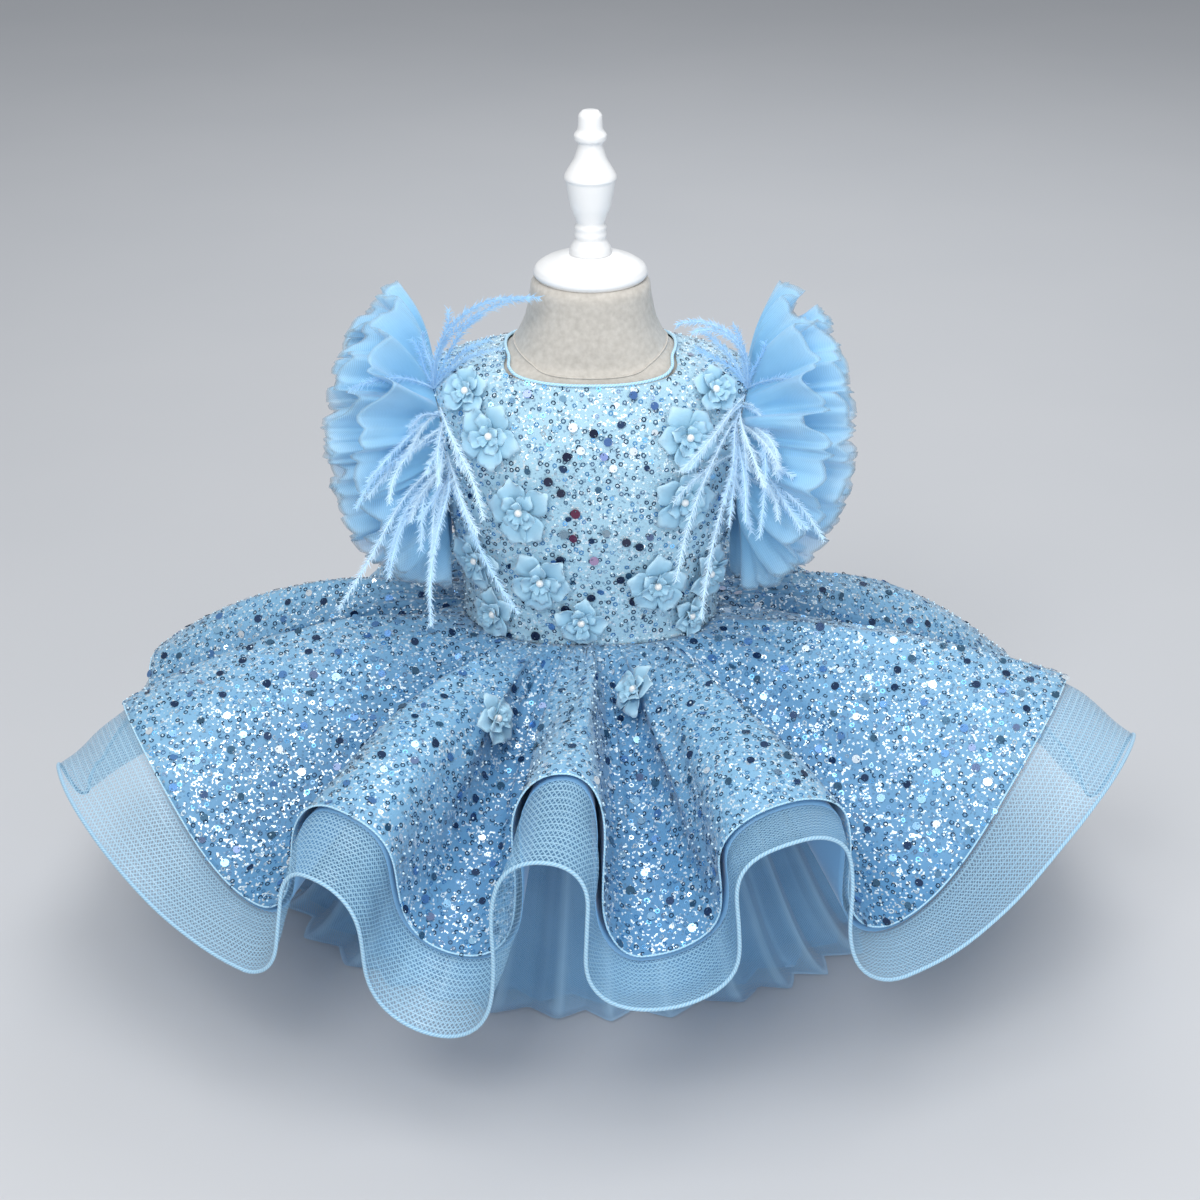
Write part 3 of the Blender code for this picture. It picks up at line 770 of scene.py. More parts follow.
@dataclass
class ClothGrid:
    """A sheet made from a grid that is laid on a surface.

    The surface's function takes the share round and the share along, each from 0 to 1.
    """

    name: str
    columns: int
    rows: int
    place: Place
    closed: bool = False
    tube: bool = False
    facing: Callable[[Vector], Vector] = outward_and_up
    # Painted fold shading or rim tint, by share round and along.
    painted_shading_and_rim_tint: Callable[[float, float], float] = no_shading_or_tint
    measured_row: float = 0.7
    measured_columns: tuple[float, ...] = (0.05, 0.35, 0.65, 0.95)
    cut: tuple[float, float] = field(default=(0.0, 0.0), init=False)

    def _lengths(self) -> tuple[np.ndarray, np.ndarray]:
        """Lengths in metres round one row and down the longest of four columns."""
        level = 0.0 if self.tube else self.measured_row
        row = [self.place(c / self.columns, level) for c in range(self.columns + 1)]
        downs = []
        for u in self.measured_columns:
            downs.append(run_of([self.place(u, r / self.rows) for r in range(self.rows + 1)]))
        return run_of(row), np.max(downs, axis=0)

    def build(self) -> bpy.types.Object:
        """Lay the grid on the surface.

        Returns:
            The sheet's object, with a UV map in metres and an "edge" attribute that carries painted fold
            shading or a rim tint.
        """
        round_m, down_m = self._lengths()
        self.cut = (float(round_m[-1]), float(down_m[-1]))
        bm = bmesh.new()
        uv_layer = bm.loops.layers.uv.new("UVMap")
        shading_and_tint_layer = bm.verts.layers.float.new("edge")
        bmesh.ops.create_grid(bm, x_segments=self.columns, y_segments=self.rows, size=0.5, calc_uvs=True)
        across = np.linspace(0.0, 1.0, self.columns + 1)
        along = np.linspace(0.0, 1.0, self.rows + 1)
        for face in bm.faces:
            for loop in face.loops:
                u, v = loop[uv_layer].uv
                loop[uv_layer].uv = (np.interp(u, across, round_m), np.interp(v, along, down_m))
        for vert in bm.verts:
            u, v = vert.co.x + 0.5, vert.co.y + 0.5
            vert[shading_and_tint_layer] = self.painted_shading_and_rim_tint(u, v)
            vert.co = self.place(min(max(u, 0.0), 1.0), min(max(v, 0.0), 1.0))
        if self.closed or self.tube:
            bmesh.ops.remove_doubles(bm, verts=bm.verts, dist=MERGE)
        bm.normal_update()
        turned = (f.normal.dot(self.facing(f.calc_center_median())) * f.calc_area() for f in bm.faces)
        if sum(turned) < 0.0:
            bmesh.ops.reverse_faces(bm, faces=bm.faces)
        return object_from(bm, self.name)


def area_of(piece: bpy.types.Object) -> float:
    """Area of a piece's faces."""
    return sum(p.area for p in piece.data.polygons)


def declare_cloth(
    piece: bpy.types.Object,
    grid: ClothGrid,
) -> None:
    """Work out a sheet's area against the cut that it was made from; nothing is kept.

    Args:
        piece: The sheet.
        grid: The grid that it was laid from.
    """
    area = area_of(piece)
    width, length = grid.cut
    width = max(width, area / length)
    round(area, 5) if area < 0.99 * width * length else None


@dataclass(frozen=True)
class Section:
    """One level of the body."""

    z: float
    half_width: float
    half_depth: float


@dataclass
class BodyShape:
    """The inside of the dress, and above it the form's neck, as superellipse rings."""

    power: float = 2.3
    neck_front: float = 0.4455
    neck_back: float = 0.4530
    neck_side: float = 0.4580
    neck_power: float = 2.3
    sections: tuple[Section, ...] = (
        Section(0.000, 0.088, 0.068),
        Section(0.035, 0.095, 0.075),
        Section(0.130, 0.101, 0.081),
        Section(0.247, 0.0965, 0.0755),
        Section(0.285, 0.0990, 0.0780),
        Section(0.340, 0.1085, 0.0830),
        Section(0.385, 0.1165, 0.0820),
        Section(0.415, 0.1200, 0.0745),
        Section(0.432, 0.1205, 0.0670),
        Section(0.443, 0.1165, 0.0605),
        Section(0.449, 0.1000, 0.0560),
        Section(0.453, 0.0820, 0.0525),
        Section(0.458, 0.0640, 0.0490),
        Section(0.468, 0.0559, 0.0484),
        Section(0.485, 0.0489, 0.0464),
        Section(0.512, 0.0451, 0.0451),
    )
    levels: list[float] = field(init=False)
    slopes: list[tuple[float, float]] = field(init=False)

    def __post_init__(self) -> None:
        """Work out slopes that keep the curve between its levels."""
        rows = self.sections
        self.levels = [row.z for row in rows]
        self.slopes = [(0.0, 0.0)]
        for before, here, after in zip(rows, rows[1:], rows[2:]):
            pair = []
            for side in ("half_width", "half_depth"):
                low = (getattr(here, side) - getattr(before, side)) / (here.z - before.z)
                high = (getattr(after, side) - getattr(here, side)) / (after.z - here.z)
                pair.append(0.0 if low * high <= 0.0 else 2.0 * low * high / (low + high))
            self.slopes.append((pair[0], pair[1]))
        self.slopes.append((0.0, 0.0))

    def half_sizes(self, z: float) -> tuple[float, float]:
        """Half width and half depth at a height.

        Args:
            z: Height.

        Returns:
            Two half sizes.
        """
        z = min(max(z, self.levels[0]), self.levels[-1])
        k = min(max(bisect_right(self.levels, z) - 1, 0), len(self.levels) - 2)
        low, high = self.sections[k], self.sections[k + 1]
        span = high.z - low.z
        t = (z - low.z) / span
        sizes = []
        for side, name in enumerate(("half_width", "half_depth")):
            size = getattr(low, name) * (2 * t**3 - 3 * t**2 + 1)
            size += self.slopes[k][side] * span * (t**3 - 2 * t**2 + t)
            size += getattr(high, name) * (3 * t**2 - 2 * t**3)
            size += self.slopes[k + 1][side] * span * (t**3 - t**2)
            sizes.append(size)
        return sizes[0], sizes[1]

    def point(self, azimuth: float, z: float) -> Vector:
        """Point on the inside of the dress.

        Args:
            azimuth: Angle in degrees from the front.
            z: Height.

        Returns:
            Point.
        """
        half_width, half_depth = self.half_sizes(z)
        side = math.sin(math.radians(azimuth))
        front = math.cos(math.radians(azimuth))
        share = 2.0 / self.power
        x = math.copysign(abs(side) ** share, side) * half_width
        y = -math.copysign(abs(front) ** share, front) * half_depth
        return Vector((x, y, z))

    def normal(self, azimuth: float, z: float) -> Vector:
        """Direction out of the body.

        Args:
            azimuth: Angle in degrees from the front.
            z: Height.

        Returns:
            Outer normal.
        """
        across = self.point(azimuth + 1.5, z) - self.point(azimuth - 1.5, z)
        upward = self.point(azimuth, z + 0.003) - self.point(azimuth, z - 0.003)
        return across.cross(upward).normalized()

    def out(self, azimuth: float, z: float, distance: float) -> Vector:
        """Point at a distance outside the body."""
        return self.point(azimuth, z) + self.normal(azimuth, z) * distance

    def side_azimuth(self, y: float, z: float) -> float:
        """Azimuth of the right side's point at a depth and height.

        Args:
            y: Depth, under 0 in front.
            z: Height.

        Returns:
            Azimuth in degrees.
        """
        half_depth = self.half_sizes(z)[1]
        away = math.degrees(math.acos(min(1.0, abs(y) / half_depth) ** (self.power / 2.0)))
        return away if y < 0.0 else 180.0 - away

    def front_azimuth(self, x: float, z: float) -> float:
        """Azimuth of the front's point at an X and a height.

        Args:
            x: Distance from the middle.
            z: Height.

        Returns:
            Azimuth in degrees.
        """
        half_width = self.half_sizes(z)[0]
        turn = math.degrees(math.asin(min(1.0, abs(x) / half_width) ** (self.power / 2.0)))
        return math.copysign(turn, x)

    def neckline(self, azimuth: float) -> float:
        """Height of the neckline, lowest at the front and highest at the sides."""
        front = math.cos(math.radians(azimuth))
        low = self.neck_front if front > 0 else self.neck_back
        return mix(self.neck_side, low, abs(front) ** self.neck_power)

    def armhole(self, z: float) -> float:
        """Azimuth of the armhole's front edge, or 90 where the side is sewn.

        Args:
            z: Height.

        Returns:
            Azimuth in degrees.
        """
        reach = 1.0 - ((z - ARMHOLE.z) / ARMHOLE.half_height) ** 2
        if reach <= 0.0:
            return 90.0
        depth = ARMHOLE.half_depth * math.sqrt(reach)
        half_depth = self.half_sizes(z)[1]
        return math.degrees(math.acos(min(1.0, (depth / half_depth) ** (self.power / 2.0))))


@dataclass(frozen=True)
class Armhole:
    """Oval opening at each side."""

    z: float = 0.3915
    half_height: float = 0.0515
    half_depth: float = 0.040


ARMHOLE = Armhole()
WAIST_Z = 0.247
CLOTH = 0.0012


def even_shares(curve: Callable[[float], Vector], count: int) -> list[float]:
    """Shares at which a curve is cut into equal lengths.

    Args:
        curve: Curve, by share of the way.
        count: Number of lengths.

    Returns:
        Shares, both ends with them.
    """
    fine = np.linspace(0.0, 1.0, 400)
    lengths = run_of([curve(t) for t in fine])
    return list(np.interp(np.linspace(0.0, lengths[-1], count + 1), lengths, fine))


def tube(
    name: str,
    path: Callable[[float], tuple[Vector, Vector]],
    radius: float,
    columns: int,
    closed: bool = False,
    sides: int = 6,
    wrap: float = 1.0,
) -> ClothGrid:
    """Grid of a round cord.

    Args:
        name: The piece's name.
        path: Its middle line and a direction across it, by share of the way.
        radius: Its radius.
        columns: Steps along it.
        closed: Whether its ends meet.
        sides: Faces round it.
        wrap: Share of the way round that is covered: under 1 leaves a slit behind.

    Returns:
        The grid, to be built.
    """

    def place(u: float, v: float) -> Vector:
        """Point of the cord's skin."""
        low, high = u - 0.002, u + 0.002
        if closed:
            u, low, high = u % 1.0, low % 1.0, high % 1.0
        else:
            low, high = max(low, 0.0), min(high, 1.0)
        middle, across = path(u)
        ahead = (path(high)[0] - path(low)[0]).normalized()
        other = ahead.cross(across).normalized()
        angle = math.pi * wrap * (2.0 * v - 1.0)
        return middle + (across * math.cos(angle) + other * math.sin(angle)) * radius

    return ClothGrid(name, columns, sides, place, closed=closed, tube=True, facing=upward)


def turn_out(piece: bpy.types.Object, fill: bool = True) -> bpy.types.Object:
    """Point a round piece's faces outwards and close its open ends.

    Args:
        piece: Piece.
        fill: Whether its ends are closed.

    Returns:
        Same piece.
    """
    bm = bmesh.new()
    bm.from_mesh(piece.data)
    if fill:
        bmesh.ops.holes_fill(bm, edges=bm.edges, sides=0)
    bmesh.ops.recalc_face_normals(bm, faces=bm.faces)
    if fill and bm.calc_volume(signed=True) < 0.0:
        bmesh.ops.reverse_faces(bm, faces=bm.faces)
    bm.to_mesh(piece.data)
    bm.free()
    return piece


def thicken(piece: bpy.types.Object, thickness: float, offset: float = 1.0) -> bpy.types.Object:
    """Give a sheet its thickness.

    Args:
        piece: Sheet.
        thickness: Its thickness.
        offset: 1 to grow outwards, 0 to both sides.

    Returns:
        Same piece.
    """
    solid = piece.modifiers.new("Thickness", "SOLIDIFY")
    solid.thickness = thickness
    solid.offset = offset
    return piece


@dataclass
class Assembly:
    """What every sub-assembly works with."""

    body: BodyShape
    wardrobe: Wardrobe

    def cord(self, grid: ClothGrid, finish: Finish) -> bpy.types.Object:
        """Build a round cord and finish it."""
        return self.wardrobe.hand_over(turn_out(grid.build()), [finish])


@dataclass
class DressForm(Assembly):
    """Limbless linen dress form with a turned neck cap and finial, by radius and height."""

    ease: float = 0.0036
    neck_ease: float = 0.0010
    neck_z: tuple[float, float] = (0.449, 0.458)
    top_z: float = 0.512
    sides: int = 128
    rows: int = 110
    foot_z: float = 0.003
    seam_rise: float = 0.0065
    seam_radius: float = 0.0006
    seam_steps: int = 160
    seam_sink: float = 0.0002
    joint: float = 0.0003
    lathe_steps: int = 64
    corner_cuts: tuple[float, ...] = (0.14, 0.25)
    cap: Profile = (
        (0.0405, 0.0), (0.0424, 0.0025), (0.0424, 0.0045), (0.0405, 0.0078), (0.0346, 0.0116),
        (0.0228, 0.0162), (0.0160, 0.0176),
    )
    finial: Profile = (
        (0.0158, 0.0), (0.0152, 0.0045), (0.0112, 0.0105), (0.0112, 0.0112), (0.0122, 0.0140),
        (0.0114, 0.0168), (0.0120, 0.0200), (0.0098, 0.0228), (0.0150, 0.0350), (0.0178, 0.0500),
        (0.0182, 0.0545), (0.0196, 0.0565), (0.0190, 0.0590), (0.0118, 0.0710), (0.0088, 0.0825),
        (0.0118, 0.0848), (0.0122, 0.0885), (0.0092, 0.0925), (0.0088, 0.1030), (0.0060, 0.1060),
    )

    def _room(self, z: float) -> float:
        """Room between the form and the dress."""
        low, high = self.neck_z
        share = min(1.0, max(0.0, (z - low) / (high - low)))
        return mix(self.ease, self.neck_ease, share)

    def _torso_point(self, azimuth: float, z: float) -> Vector:
        """Point of the linen.

        Args:
            azimuth: Angle in degrees from the front.
            z: Height.

        Returns:
            Point.
        """
        if self.foot_z < z < self.top_z - 0.001:
            place = self.body.out(azimuth, z, -self._room(z))
            place.z = max(place.z, self.foot_z)
            return place
        place = self.body.point(azimuth, z)
        place.xy *= 1.0 - self.ease / place.xy.length
        return place

    def build_torso(self) -> None:
        """Cover the torso with linen."""
        shares = even_shares(lambda t: self.body.point(90.0, t * self.top_z), self.rows)

        def place(u: float, v: float) -> Vector:
            """Point by share round and up."""
            return self._torso_point(360.0 * u, shares[round(v * self.rows)] * self.top_z)

        grid = ClothGrid("form_linen", self.sides, self.rows, place, closed=True)
        torso = turn_out(grid.build())
        self.wardrobe.hand_over(torso, [Linen()], ["form_torso"])

    def _seam(self) -> None:
        """Raised seam of the linen round the foot of the neck."""

        def edge(u: float) -> tuple[Vector, Vector]:
            """Line of the seam."""
            azimuth = 360.0 * u
            z = self.body.neckline(azimuth) + self.seam_rise
            middle = self.body.out(azimuth, z, self.seam_sink - self._room(z))
            return middle, self.body.normal(azimuth, z)

        grid = tube("form_seam", edge, self.seam_radius, self.seam_steps, closed=True)
        self.cord(grid, Linen())

    def _turn(self, name: str, profile: Profile, foot: float, node: str) -> None:
        """Turn a wooden piece from its profile.

        Args:
            name: Its name.
            profile: Its radii and heights.
            foot: Height of its foot.
            node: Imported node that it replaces.
        """
        points = [Vector((radius, 0.0, foot + z)) for radius, z in profile]
        for corner in self.corner_cuts:
            cut = [points[0]]
            for a, b in zip(points, points[1:]):
                cut += [a.lerp(b, corner), a.lerp(b, 1.0 - corner)]
            points = [*cut, points[-1]]
        bm = bmesh.new()
        verts = [bm.verts.new(p) for p in points]
        edges = [bm.edges.new(pair) for pair in zip(verts, verts[1:])]
        bmesh.ops.spin(
            bm,
            geom=[*verts, *edges],
            cent=(0, 0, 0),
            axis=(0, 0, 1),
            angle=math.tau,
            steps=self.lathe_steps,
            use_merge=True,
        )
        bmesh.ops.remove_doubles(bm, verts=bm.verts, dist=MERGE)
        piece = turn_out(object_from(bm, name))
        self.wardrobe.hand_over(piece, [PaintedWood()], [node])

    def build(self) -> None:
        """Build the whole form."""
        self.build_torso()
        self._seam()
        foot = self.top_z + self.joint
        self._turn("form_cap", self.cap, foot, "form_neck_cap")
        self._turn("form_turning", self.finial, foot + self.cap[-1][1] + self.joint, "form_finial")


@dataclass(frozen=True)
class Fold:
    """Crest or trough of the full skirt: top_ is the overskirt's hem, hem_ the corded one."""

    top_az: float
    top_r: float
    top_z: float
    hem_az: float
    hem_r: float
    hem_z: float
    flank: float


@dataclass
class SkirtShape:
    """Surface of the skirt: turn counts its folds, along is 0 at the waist, 1 and 2 at the hems."""

    body: BodyShape
    folds: tuple[Fold, ...] = (
        Fold(-72.0, 0.366, 0.210, -73.0, 0.421, 0.166, 0.02),
        Fold(-43.0, 0.350, 0.128, -37.5, 0.396, 0.114, 0.17),
        Fold(-32.0, 0.335, 0.222, -30.5, 0.384, 0.199, 0.15),
        Fold(-16.0, 0.320, 0.117, -16.0, 0.372, 0.087, 0.20),
        Fold(-3.0, 0.302, 0.257, -5.3, 0.378, 0.237, 0.20),
        Fold(6.5, 0.320, 0.123, 6.4, 0.383, 0.124, 0.19),
        Fold(26.0, 0.323, 0.231, 22.4, 0.376, 0.239, 0.20),
        Fold(40.5, 0.338, 0.113, 34.5, 0.388, 0.113, 0.03),
        Fold(73.0, 0.370, 0.229, 69.0, 0.428, 0.205, 0.08),
        Fold(89.0, 0.348, 0.140, 88.0, 0.398, 0.096, 0.12),
        Fold(104.0, 0.350, 0.160, 104.0, 0.388, 0.098, 0.12),
        Fold(121.0, 0.315, 0.085, 121.0, 0.362, 0.045, 0.12),
        Fold(141.0, 0.318, 0.128, 141.0, 0.366, 0.088, 0.12),
        Fold(161.0, 0.292, 0.068, 161.0, 0.338, 0.028, 0.12),
        Fold(181.0, 0.300, 0.104, 181.0, 0.348, 0.066, 0.12),
        Fold(200.0, 0.292, 0.068, 200.0, 0.338, 0.028, 0.12),
        Fold(219.0, 0.318, 0.124, 219.0, 0.366, 0.085, 0.12),
        Fold(239.0, 0.315, 0.088, 239.0, 0.362, 0.047, 0.12),
        Fold(261.0, 0.356, 0.176, 260.0, 0.402, 0.096, 0.10),
        Fold(274.0, 0.348, 0.142, 274.0, 0.402, 0.104, 0.08),
    )
    crest_rise: float = 0.010
    crest_power: float = 2.2
    trough_power: float = 1.25
    pleat_pitch: float = 0.62
    pleat_depth: float = 0.0085
    gather_pitch: float = 0.135
    gather_depth: float = 0.0011
    gather_reach: float = 0.34
    swell_depth: float = 0.0034
    crease_depth: float = 0.0011
    drops: tuple[float, float] = (0.0017, 0.0052)

    @staticmethod
    def crest(turn: float) -> float:
        """How near a crest a place round the skirt is, from 0 in a trough to 1."""
        return (1.0 + math.cos(math.pi * turn)) / 2.0

    def point(self, turn: float, along: float) -> Vector:
        """Point of the plain surface.

        Args:
            turn: Place round the skirt, in folds.
            along: Share down it.

        Returns:
            Point.
        """
        start = math.floor(turn)
        share = turn - start
        index = start % len(self.folds)
        one, two = self.folds[index], self.folds[(index + 1) % len(self.folds)]
        wrap = 360.0 if index == len(self.folds) - 1 else 0.0
        ease = (1.0 - math.cos(math.pi * share)) / 2.0
        bend = one.flank * math.sin(math.tau * share)
        top_az = mix(one.top_az, two.top_az + wrap, share + bend)
        top_r = mix(one.top_r, two.top_r, ease)
        top_z = mix(one.top_z, two.top_z, ease)
        crest = 1.0 - ease if index % 2 == 0 else ease
        if along <= 1.0:
            along = max(along, 0.0)
            waist_az = mix(one.top_az, two.top_az + wrap, share)
            waist_r = self.body.point(waist_az, WAIST_Z).xy.length + 0.0010
            azimuth = mix(waist_az, top_az, along**1.2)
            radius = mix(waist_r, top_r, along)
            z = mix(WAIST_Z - 0.0006, top_z, along ** mix(self.trough_power, self.crest_power, crest))
            z += self.crest_rise * crest * 4.0 * along * (1.0 - along)
        else:
            beyond = along - 1.0
            azimuth = mix(top_az, mix(one.hem_az, two.hem_az + wrap, share + bend), beyond)
            radius = mix(top_r, mix(one.hem_r, two.hem_r, ease), beyond)
            z = mix(top_z, mix(one.hem_z, two.hem_z, ease), beyond)
        angle = math.radians(azimuth)
        return Vector((radius * math.sin(angle), -radius * math.cos(angle), z))

    def normal(self, turn: float, along: float) -> Vector:
        """Outer normal of the plain surface.

        Args:
            turn: Place round the skirt, in folds.
            along: Share down it.

        Returns:
            Normal.
        """
        across = self.point(turn + 0.03, along) - self.point(turn - 0.03, along)
        down = self.point(turn, min(along + 0.012, 2.0)) - self.point(turn, max(along - 0.012, 0.0))
        return down.cross(across).normalized()

    def ripple(self, turn: float, along: float) -> float:
        """Gathers under the waist seam and soft unevenness, as a height over the surface.

        Args:
            turn: Place round the skirt, in folds.
            along: Share down it.

        Returns:
            Height.
        """
        fade = math.sin(math.pi * (along / self.gather_reach)) if along < self.gather_reach else 0.0
        place = Vector((turn * 1.7, along * 2.0, 3.0))
        drift = noise.noise(Vector((turn * 4.0, 0.0, 9.0)))
        gather = math.sin(math.tau * turn / self.gather_pitch + 5.0 * drift) * (0.75 + drift * 0.5)
        start = min(1.0, along * 4.0)
        swell = noise.noise(place) * self.swell_depth * start
        crease = noise.noise(Vector((turn * 5.5, along * 1.2, 5.0))) * self.crease_depth * start
        wander = noise.noise(Vector((turn * 0.8, along * 0.7, 12.0)))
        ridge = 1.0 - abs(math.sin(math.pi * turn / self.pleat_pitch + 3.0 * wander))
        pleat = (ridge * ridge - 0.30) * self.pleat_depth * (0.75 + wander)
        pleat *= math.sin(math.pi * min(1.0, along) ** 0.8) if along < 1.0 else 0.0
        return self.gather_depth * fade * gather + swell + crease + pleat

    def lifted(self, turn: float, along: float, lift: float) -> Vector:
        """Point over the rippled surface."""
        return self.point(turn, along) + self.normal(turn, along) * (lift + self.ripple(turn, along))

    def lowered(self, turn: float, along: float) -> Vector:
        """The same for the layer below, which hangs straight down at the waist.

        Args:
            turn: Place round the skirt, in folds.
            along: Share down it.

        Returns:
            Point.
        """
        share = min(1.0, along / 0.30)
        drop = mix(*self.drops, min(1.0, along / 0.13)) - CLOTH / 2
        normal = self.normal(turn, along)
        away = Vector((0.0, 0.0, 1.0)).lerp(normal, share).normalized()
        return self.point(turn, along) - away * drop + normal * self.ripple(turn, along)


@dataclass(frozen=True)
class SkirtPanel:
    """Cut panel of the skirt, between two seams given in folds."""

    label: str
    first: float
    last: float

    @property
    def folds(self) -> float:
        """Number of folds in the panel."""
        return self.last - self.first


@dataclass
class Skirt(Assembly):
    """Sequinned overskirt, satin underskirt and the corded horsehair band below it."""

    shape: SkirtShape
    panels: tuple[SkirtPanel, ...] = (
        SkirtPanel("front", -1.0, 9.0),
        SkirtPanel("back_right", 9.0, 14.0),
        SkirtPanel("back_left", 14.0, 19.0),
    )
    columns_per_fold: int = 30
    rows: int = 50
    lining_rows: int = 40
    lining_columns: float = 0.7
    band_rows: int = 12
    thickness: float = 0.0007
    seam: float = 0.0015
    hem_radius: float = 0.0007
    cord_radius: float = 0.0014
    over: dict[str, bpy.types.Object] = field(default_factory=dict, init=False)

    def _turn(self, panel: SkirtPanel, u: float) -> float:
        """Place round the skirt of a share of the panel."""
        return mix(panel.first + self.seam, panel.last - self.seam, u)

    def _overskirt(self, panel: SkirtPanel) -> None:
        """One sequinned net panel with its rolled hem.

        Args:
            panel: Panel.
        """
        columns = round(panel.folds * self.columns_per_fold)

        def place(u: float, v: float) -> Vector:
            """Point of the net."""
            return self.shape.lifted(self._turn(panel, u), v, 0.0003)

        def edge(u: float) -> tuple[Vector, Vector]:
            """Line of the rolled hem."""
            turn = self._turn(panel, u)
            return self.shape.lifted(turn, 0.999, 0.0006), self.shape.normal(turn, 0.999)

        def crest(u: float, v: float) -> float:
            """Painted fold shade: the net is painted paler over the crests and darker in the troughs."""
            return mix(0.5, self.shape.crest(self._turn(panel, u)), min(1.0, v * 3.0))

        grid = ClothGrid(f"net_{panel.label}", columns, self.rows, place, painted_shading_and_rim_tint=crest)
        piece = thicken(grid.build(), self.thickness)
        self.wardrobe.hand_over(piece, [NET_SKIRT], [f"overskirt_{panel.label}"])
        hem = self.cord(tube(f"rolled_hem_{panel.label}", edge, self.hem_radius, columns), ROLLED_HEM)
        declare_cloth(piece, grid)
        self.over[panel.label] = piece

    def _underskirt(self, panel: SkirtPanel) -> None:
        """One satin panel.

        Args:
            panel: Panel.
        """
        columns = round(panel.folds * self.columns_per_fold * self.lining_columns)

        def place(u: float, v: float) -> Vector:
            """Point of the satin."""
            return self.shape.lowered(self._turn(panel, u), v)

        grid = ClothGrid(f"lining_{panel.label}", columns, self.lining_rows, place)
        piece = thicken(grid.build(), self.thickness, 0.0)
        self.wardrobe.hand_over(piece, [Satin()], [f"underskirt_{panel.label}"])
        declare_cloth(piece, grid)

    def _band(self, panel: SkirtPanel) -> None:
        """One length of horsehair braid with the cord in its edge.

        Args:
            panel: Panel that it hangs below.
        """
        columns = round(panel.folds * self.columns_per_fold)

        def place(u: float, v: float) -> Vector:
            """Point of the braid."""
            return self.shape.lowered(self._turn(panel, u), 1.004 + v * 0.996)

        def edge(u: float) -> tuple[Vector, Vector]:
            """Line of the cord."""
            turn = self._turn(panel, u)
            return self.shape.lowered(turn, 2.0), self.shape.normal(turn, 1.98)

        grid = ClothGrid(f"braid_{panel.label}", columns, self.band_rows, place)
        piece = self.wardrobe.hand_over(grid.build(), [Horsehair()], [f"horsehair_band_{panel.label}"])
        line = tube(f"hem_cord_{panel.label}", edge, self.cord_radius, columns, sides=8)
        cord = self.cord(line, HEM_CORD)
        declare_cloth(piece, grid)

    def build(self) -> None:
        """Build all layers of all panels."""
        for panel in self.panels:
            self._overskirt(panel)
            self._underskirt(panel)
            self._band(panel)


@dataclass(frozen=True)
class NetLayer:
    """One layer of the petticoat; inset is at its foot."""

    inset: float
    waves: int
    depth: float
    foot_z: float


@dataclass
class Petticoat(Assembly):
    """Layers of gathered tulle from the waist to the floor."""

    inset: float = 0.0024
    columns: int = 396
    rows: int = 32
    yoke: float = 0.08
    cut_edge: float = 0.97
    tops: tuple[float, float] = (0.2520, 0.2390)
    sections: tuple[Section, ...] = (
        Section(0.2330, 0.1010, 0.0800),
        Section(0.1750, 0.1380, 0.1150),
        Section(0.0850, 0.1960, 0.1690),
        Section(0.0030, 0.2450, 0.2100),
    )
    layers: tuple[NetLayer, ...] = (
        NetLayer(-0.0010, 33, 0.0098, 0.0030),
        NetLayer(0.0180, 27, 0.0075, 0.0060),
        NetLayer(0.0360, 22, 0.0075, 0.0040),
    )

    @staticmethod
    def _drift(layer: NetLayer, u: float) -> float:
        """Slow unevenness round a layer."""
        angle = math.tau * u
        return noise.noise(Vector((math.cos(angle), math.sin(angle), layer.waves * 0.1)) * 1.8)

    def _ripple(self, layer: NetLayer, u: float) -> float:
        """Sharp fold of a layer, from -1 in a valley to 1 on a ridge."""
        return math.asin(math.sin(math.tau * layer.waves * u + 4.0 * self._drift(layer, u))) * 0.64

    def _point(self, layer: NetLayer, u: float, v: float) -> Vector:
        """Point of a layer by share round and down.

        Args:
            layer: Layer.
            u: Share round.
            v: Share along.

        Returns:
            Point.
        """
        angle = math.tau * u
        if v < self.yoke:
            top = mix(self.tops[0], self.tops[1], v / self.yoke)
            return self.body.out(math.degrees(angle), top, -self.inset - layer.inset * 0.02 - 0.0002)
        down = (v - self.yoke) / (1.0 - self.yoke)
        spot = down * (len(self.sections) - 1)
        k = min(int(spot), len(self.sections) - 2)
        low, high, share = self.sections[k], self.sections[k + 1], spot - k
        z = mix(low.z, high.z, share)
        z = mix(z, layer.foot_z, down**3)
        drift = self._drift(layer, u)
        wave = self._ripple(layer, u) * layer.depth * (0.9 + 0.5 * drift) * down
        spread = wave - layer.inset * down
        half_width = mix(low.half_width, high.half_width, share) + spread
        half_depth = mix(low.half_depth, high.half_depth, share) + spread
        z += drift * 0.003 * down if down < 0.999 else abs(drift) * 0.004
        return Vector((half_width * math.sin(angle), -half_depth * math.cos(angle), z))

    def build(self) -> None:
        """Build every layer."""
        for number, layer in enumerate(self.layers, 1):

            def place(u: float, v: float, layer: NetLayer = layer) -> Vector:
                """Point of this layer."""
                return self._point(layer, u % 1.0, v)

            def edge(u: float, v: float, layer: NetLayer = layer) -> float:
                """Painted highlight on the folded ridges; the cut edge at the foot is paler too."""
                return 1.0 if v > self.cut_edge else 0.9 * max(0.0, self._ripple(layer, u)) ** 3

            name = f"petticoat_{number}"
            grid = ClothGrid(name, self.columns, self.rows, place, closed=True, painted_shading_and_rim_tint=edge)
            piece = grid.build()
            nodes = ["petticoat"] if number == 1 else []
            self.wardrobe.hand_over(piece, [PETTICOAT_NET], nodes)
            declare_cloth(piece, grid)


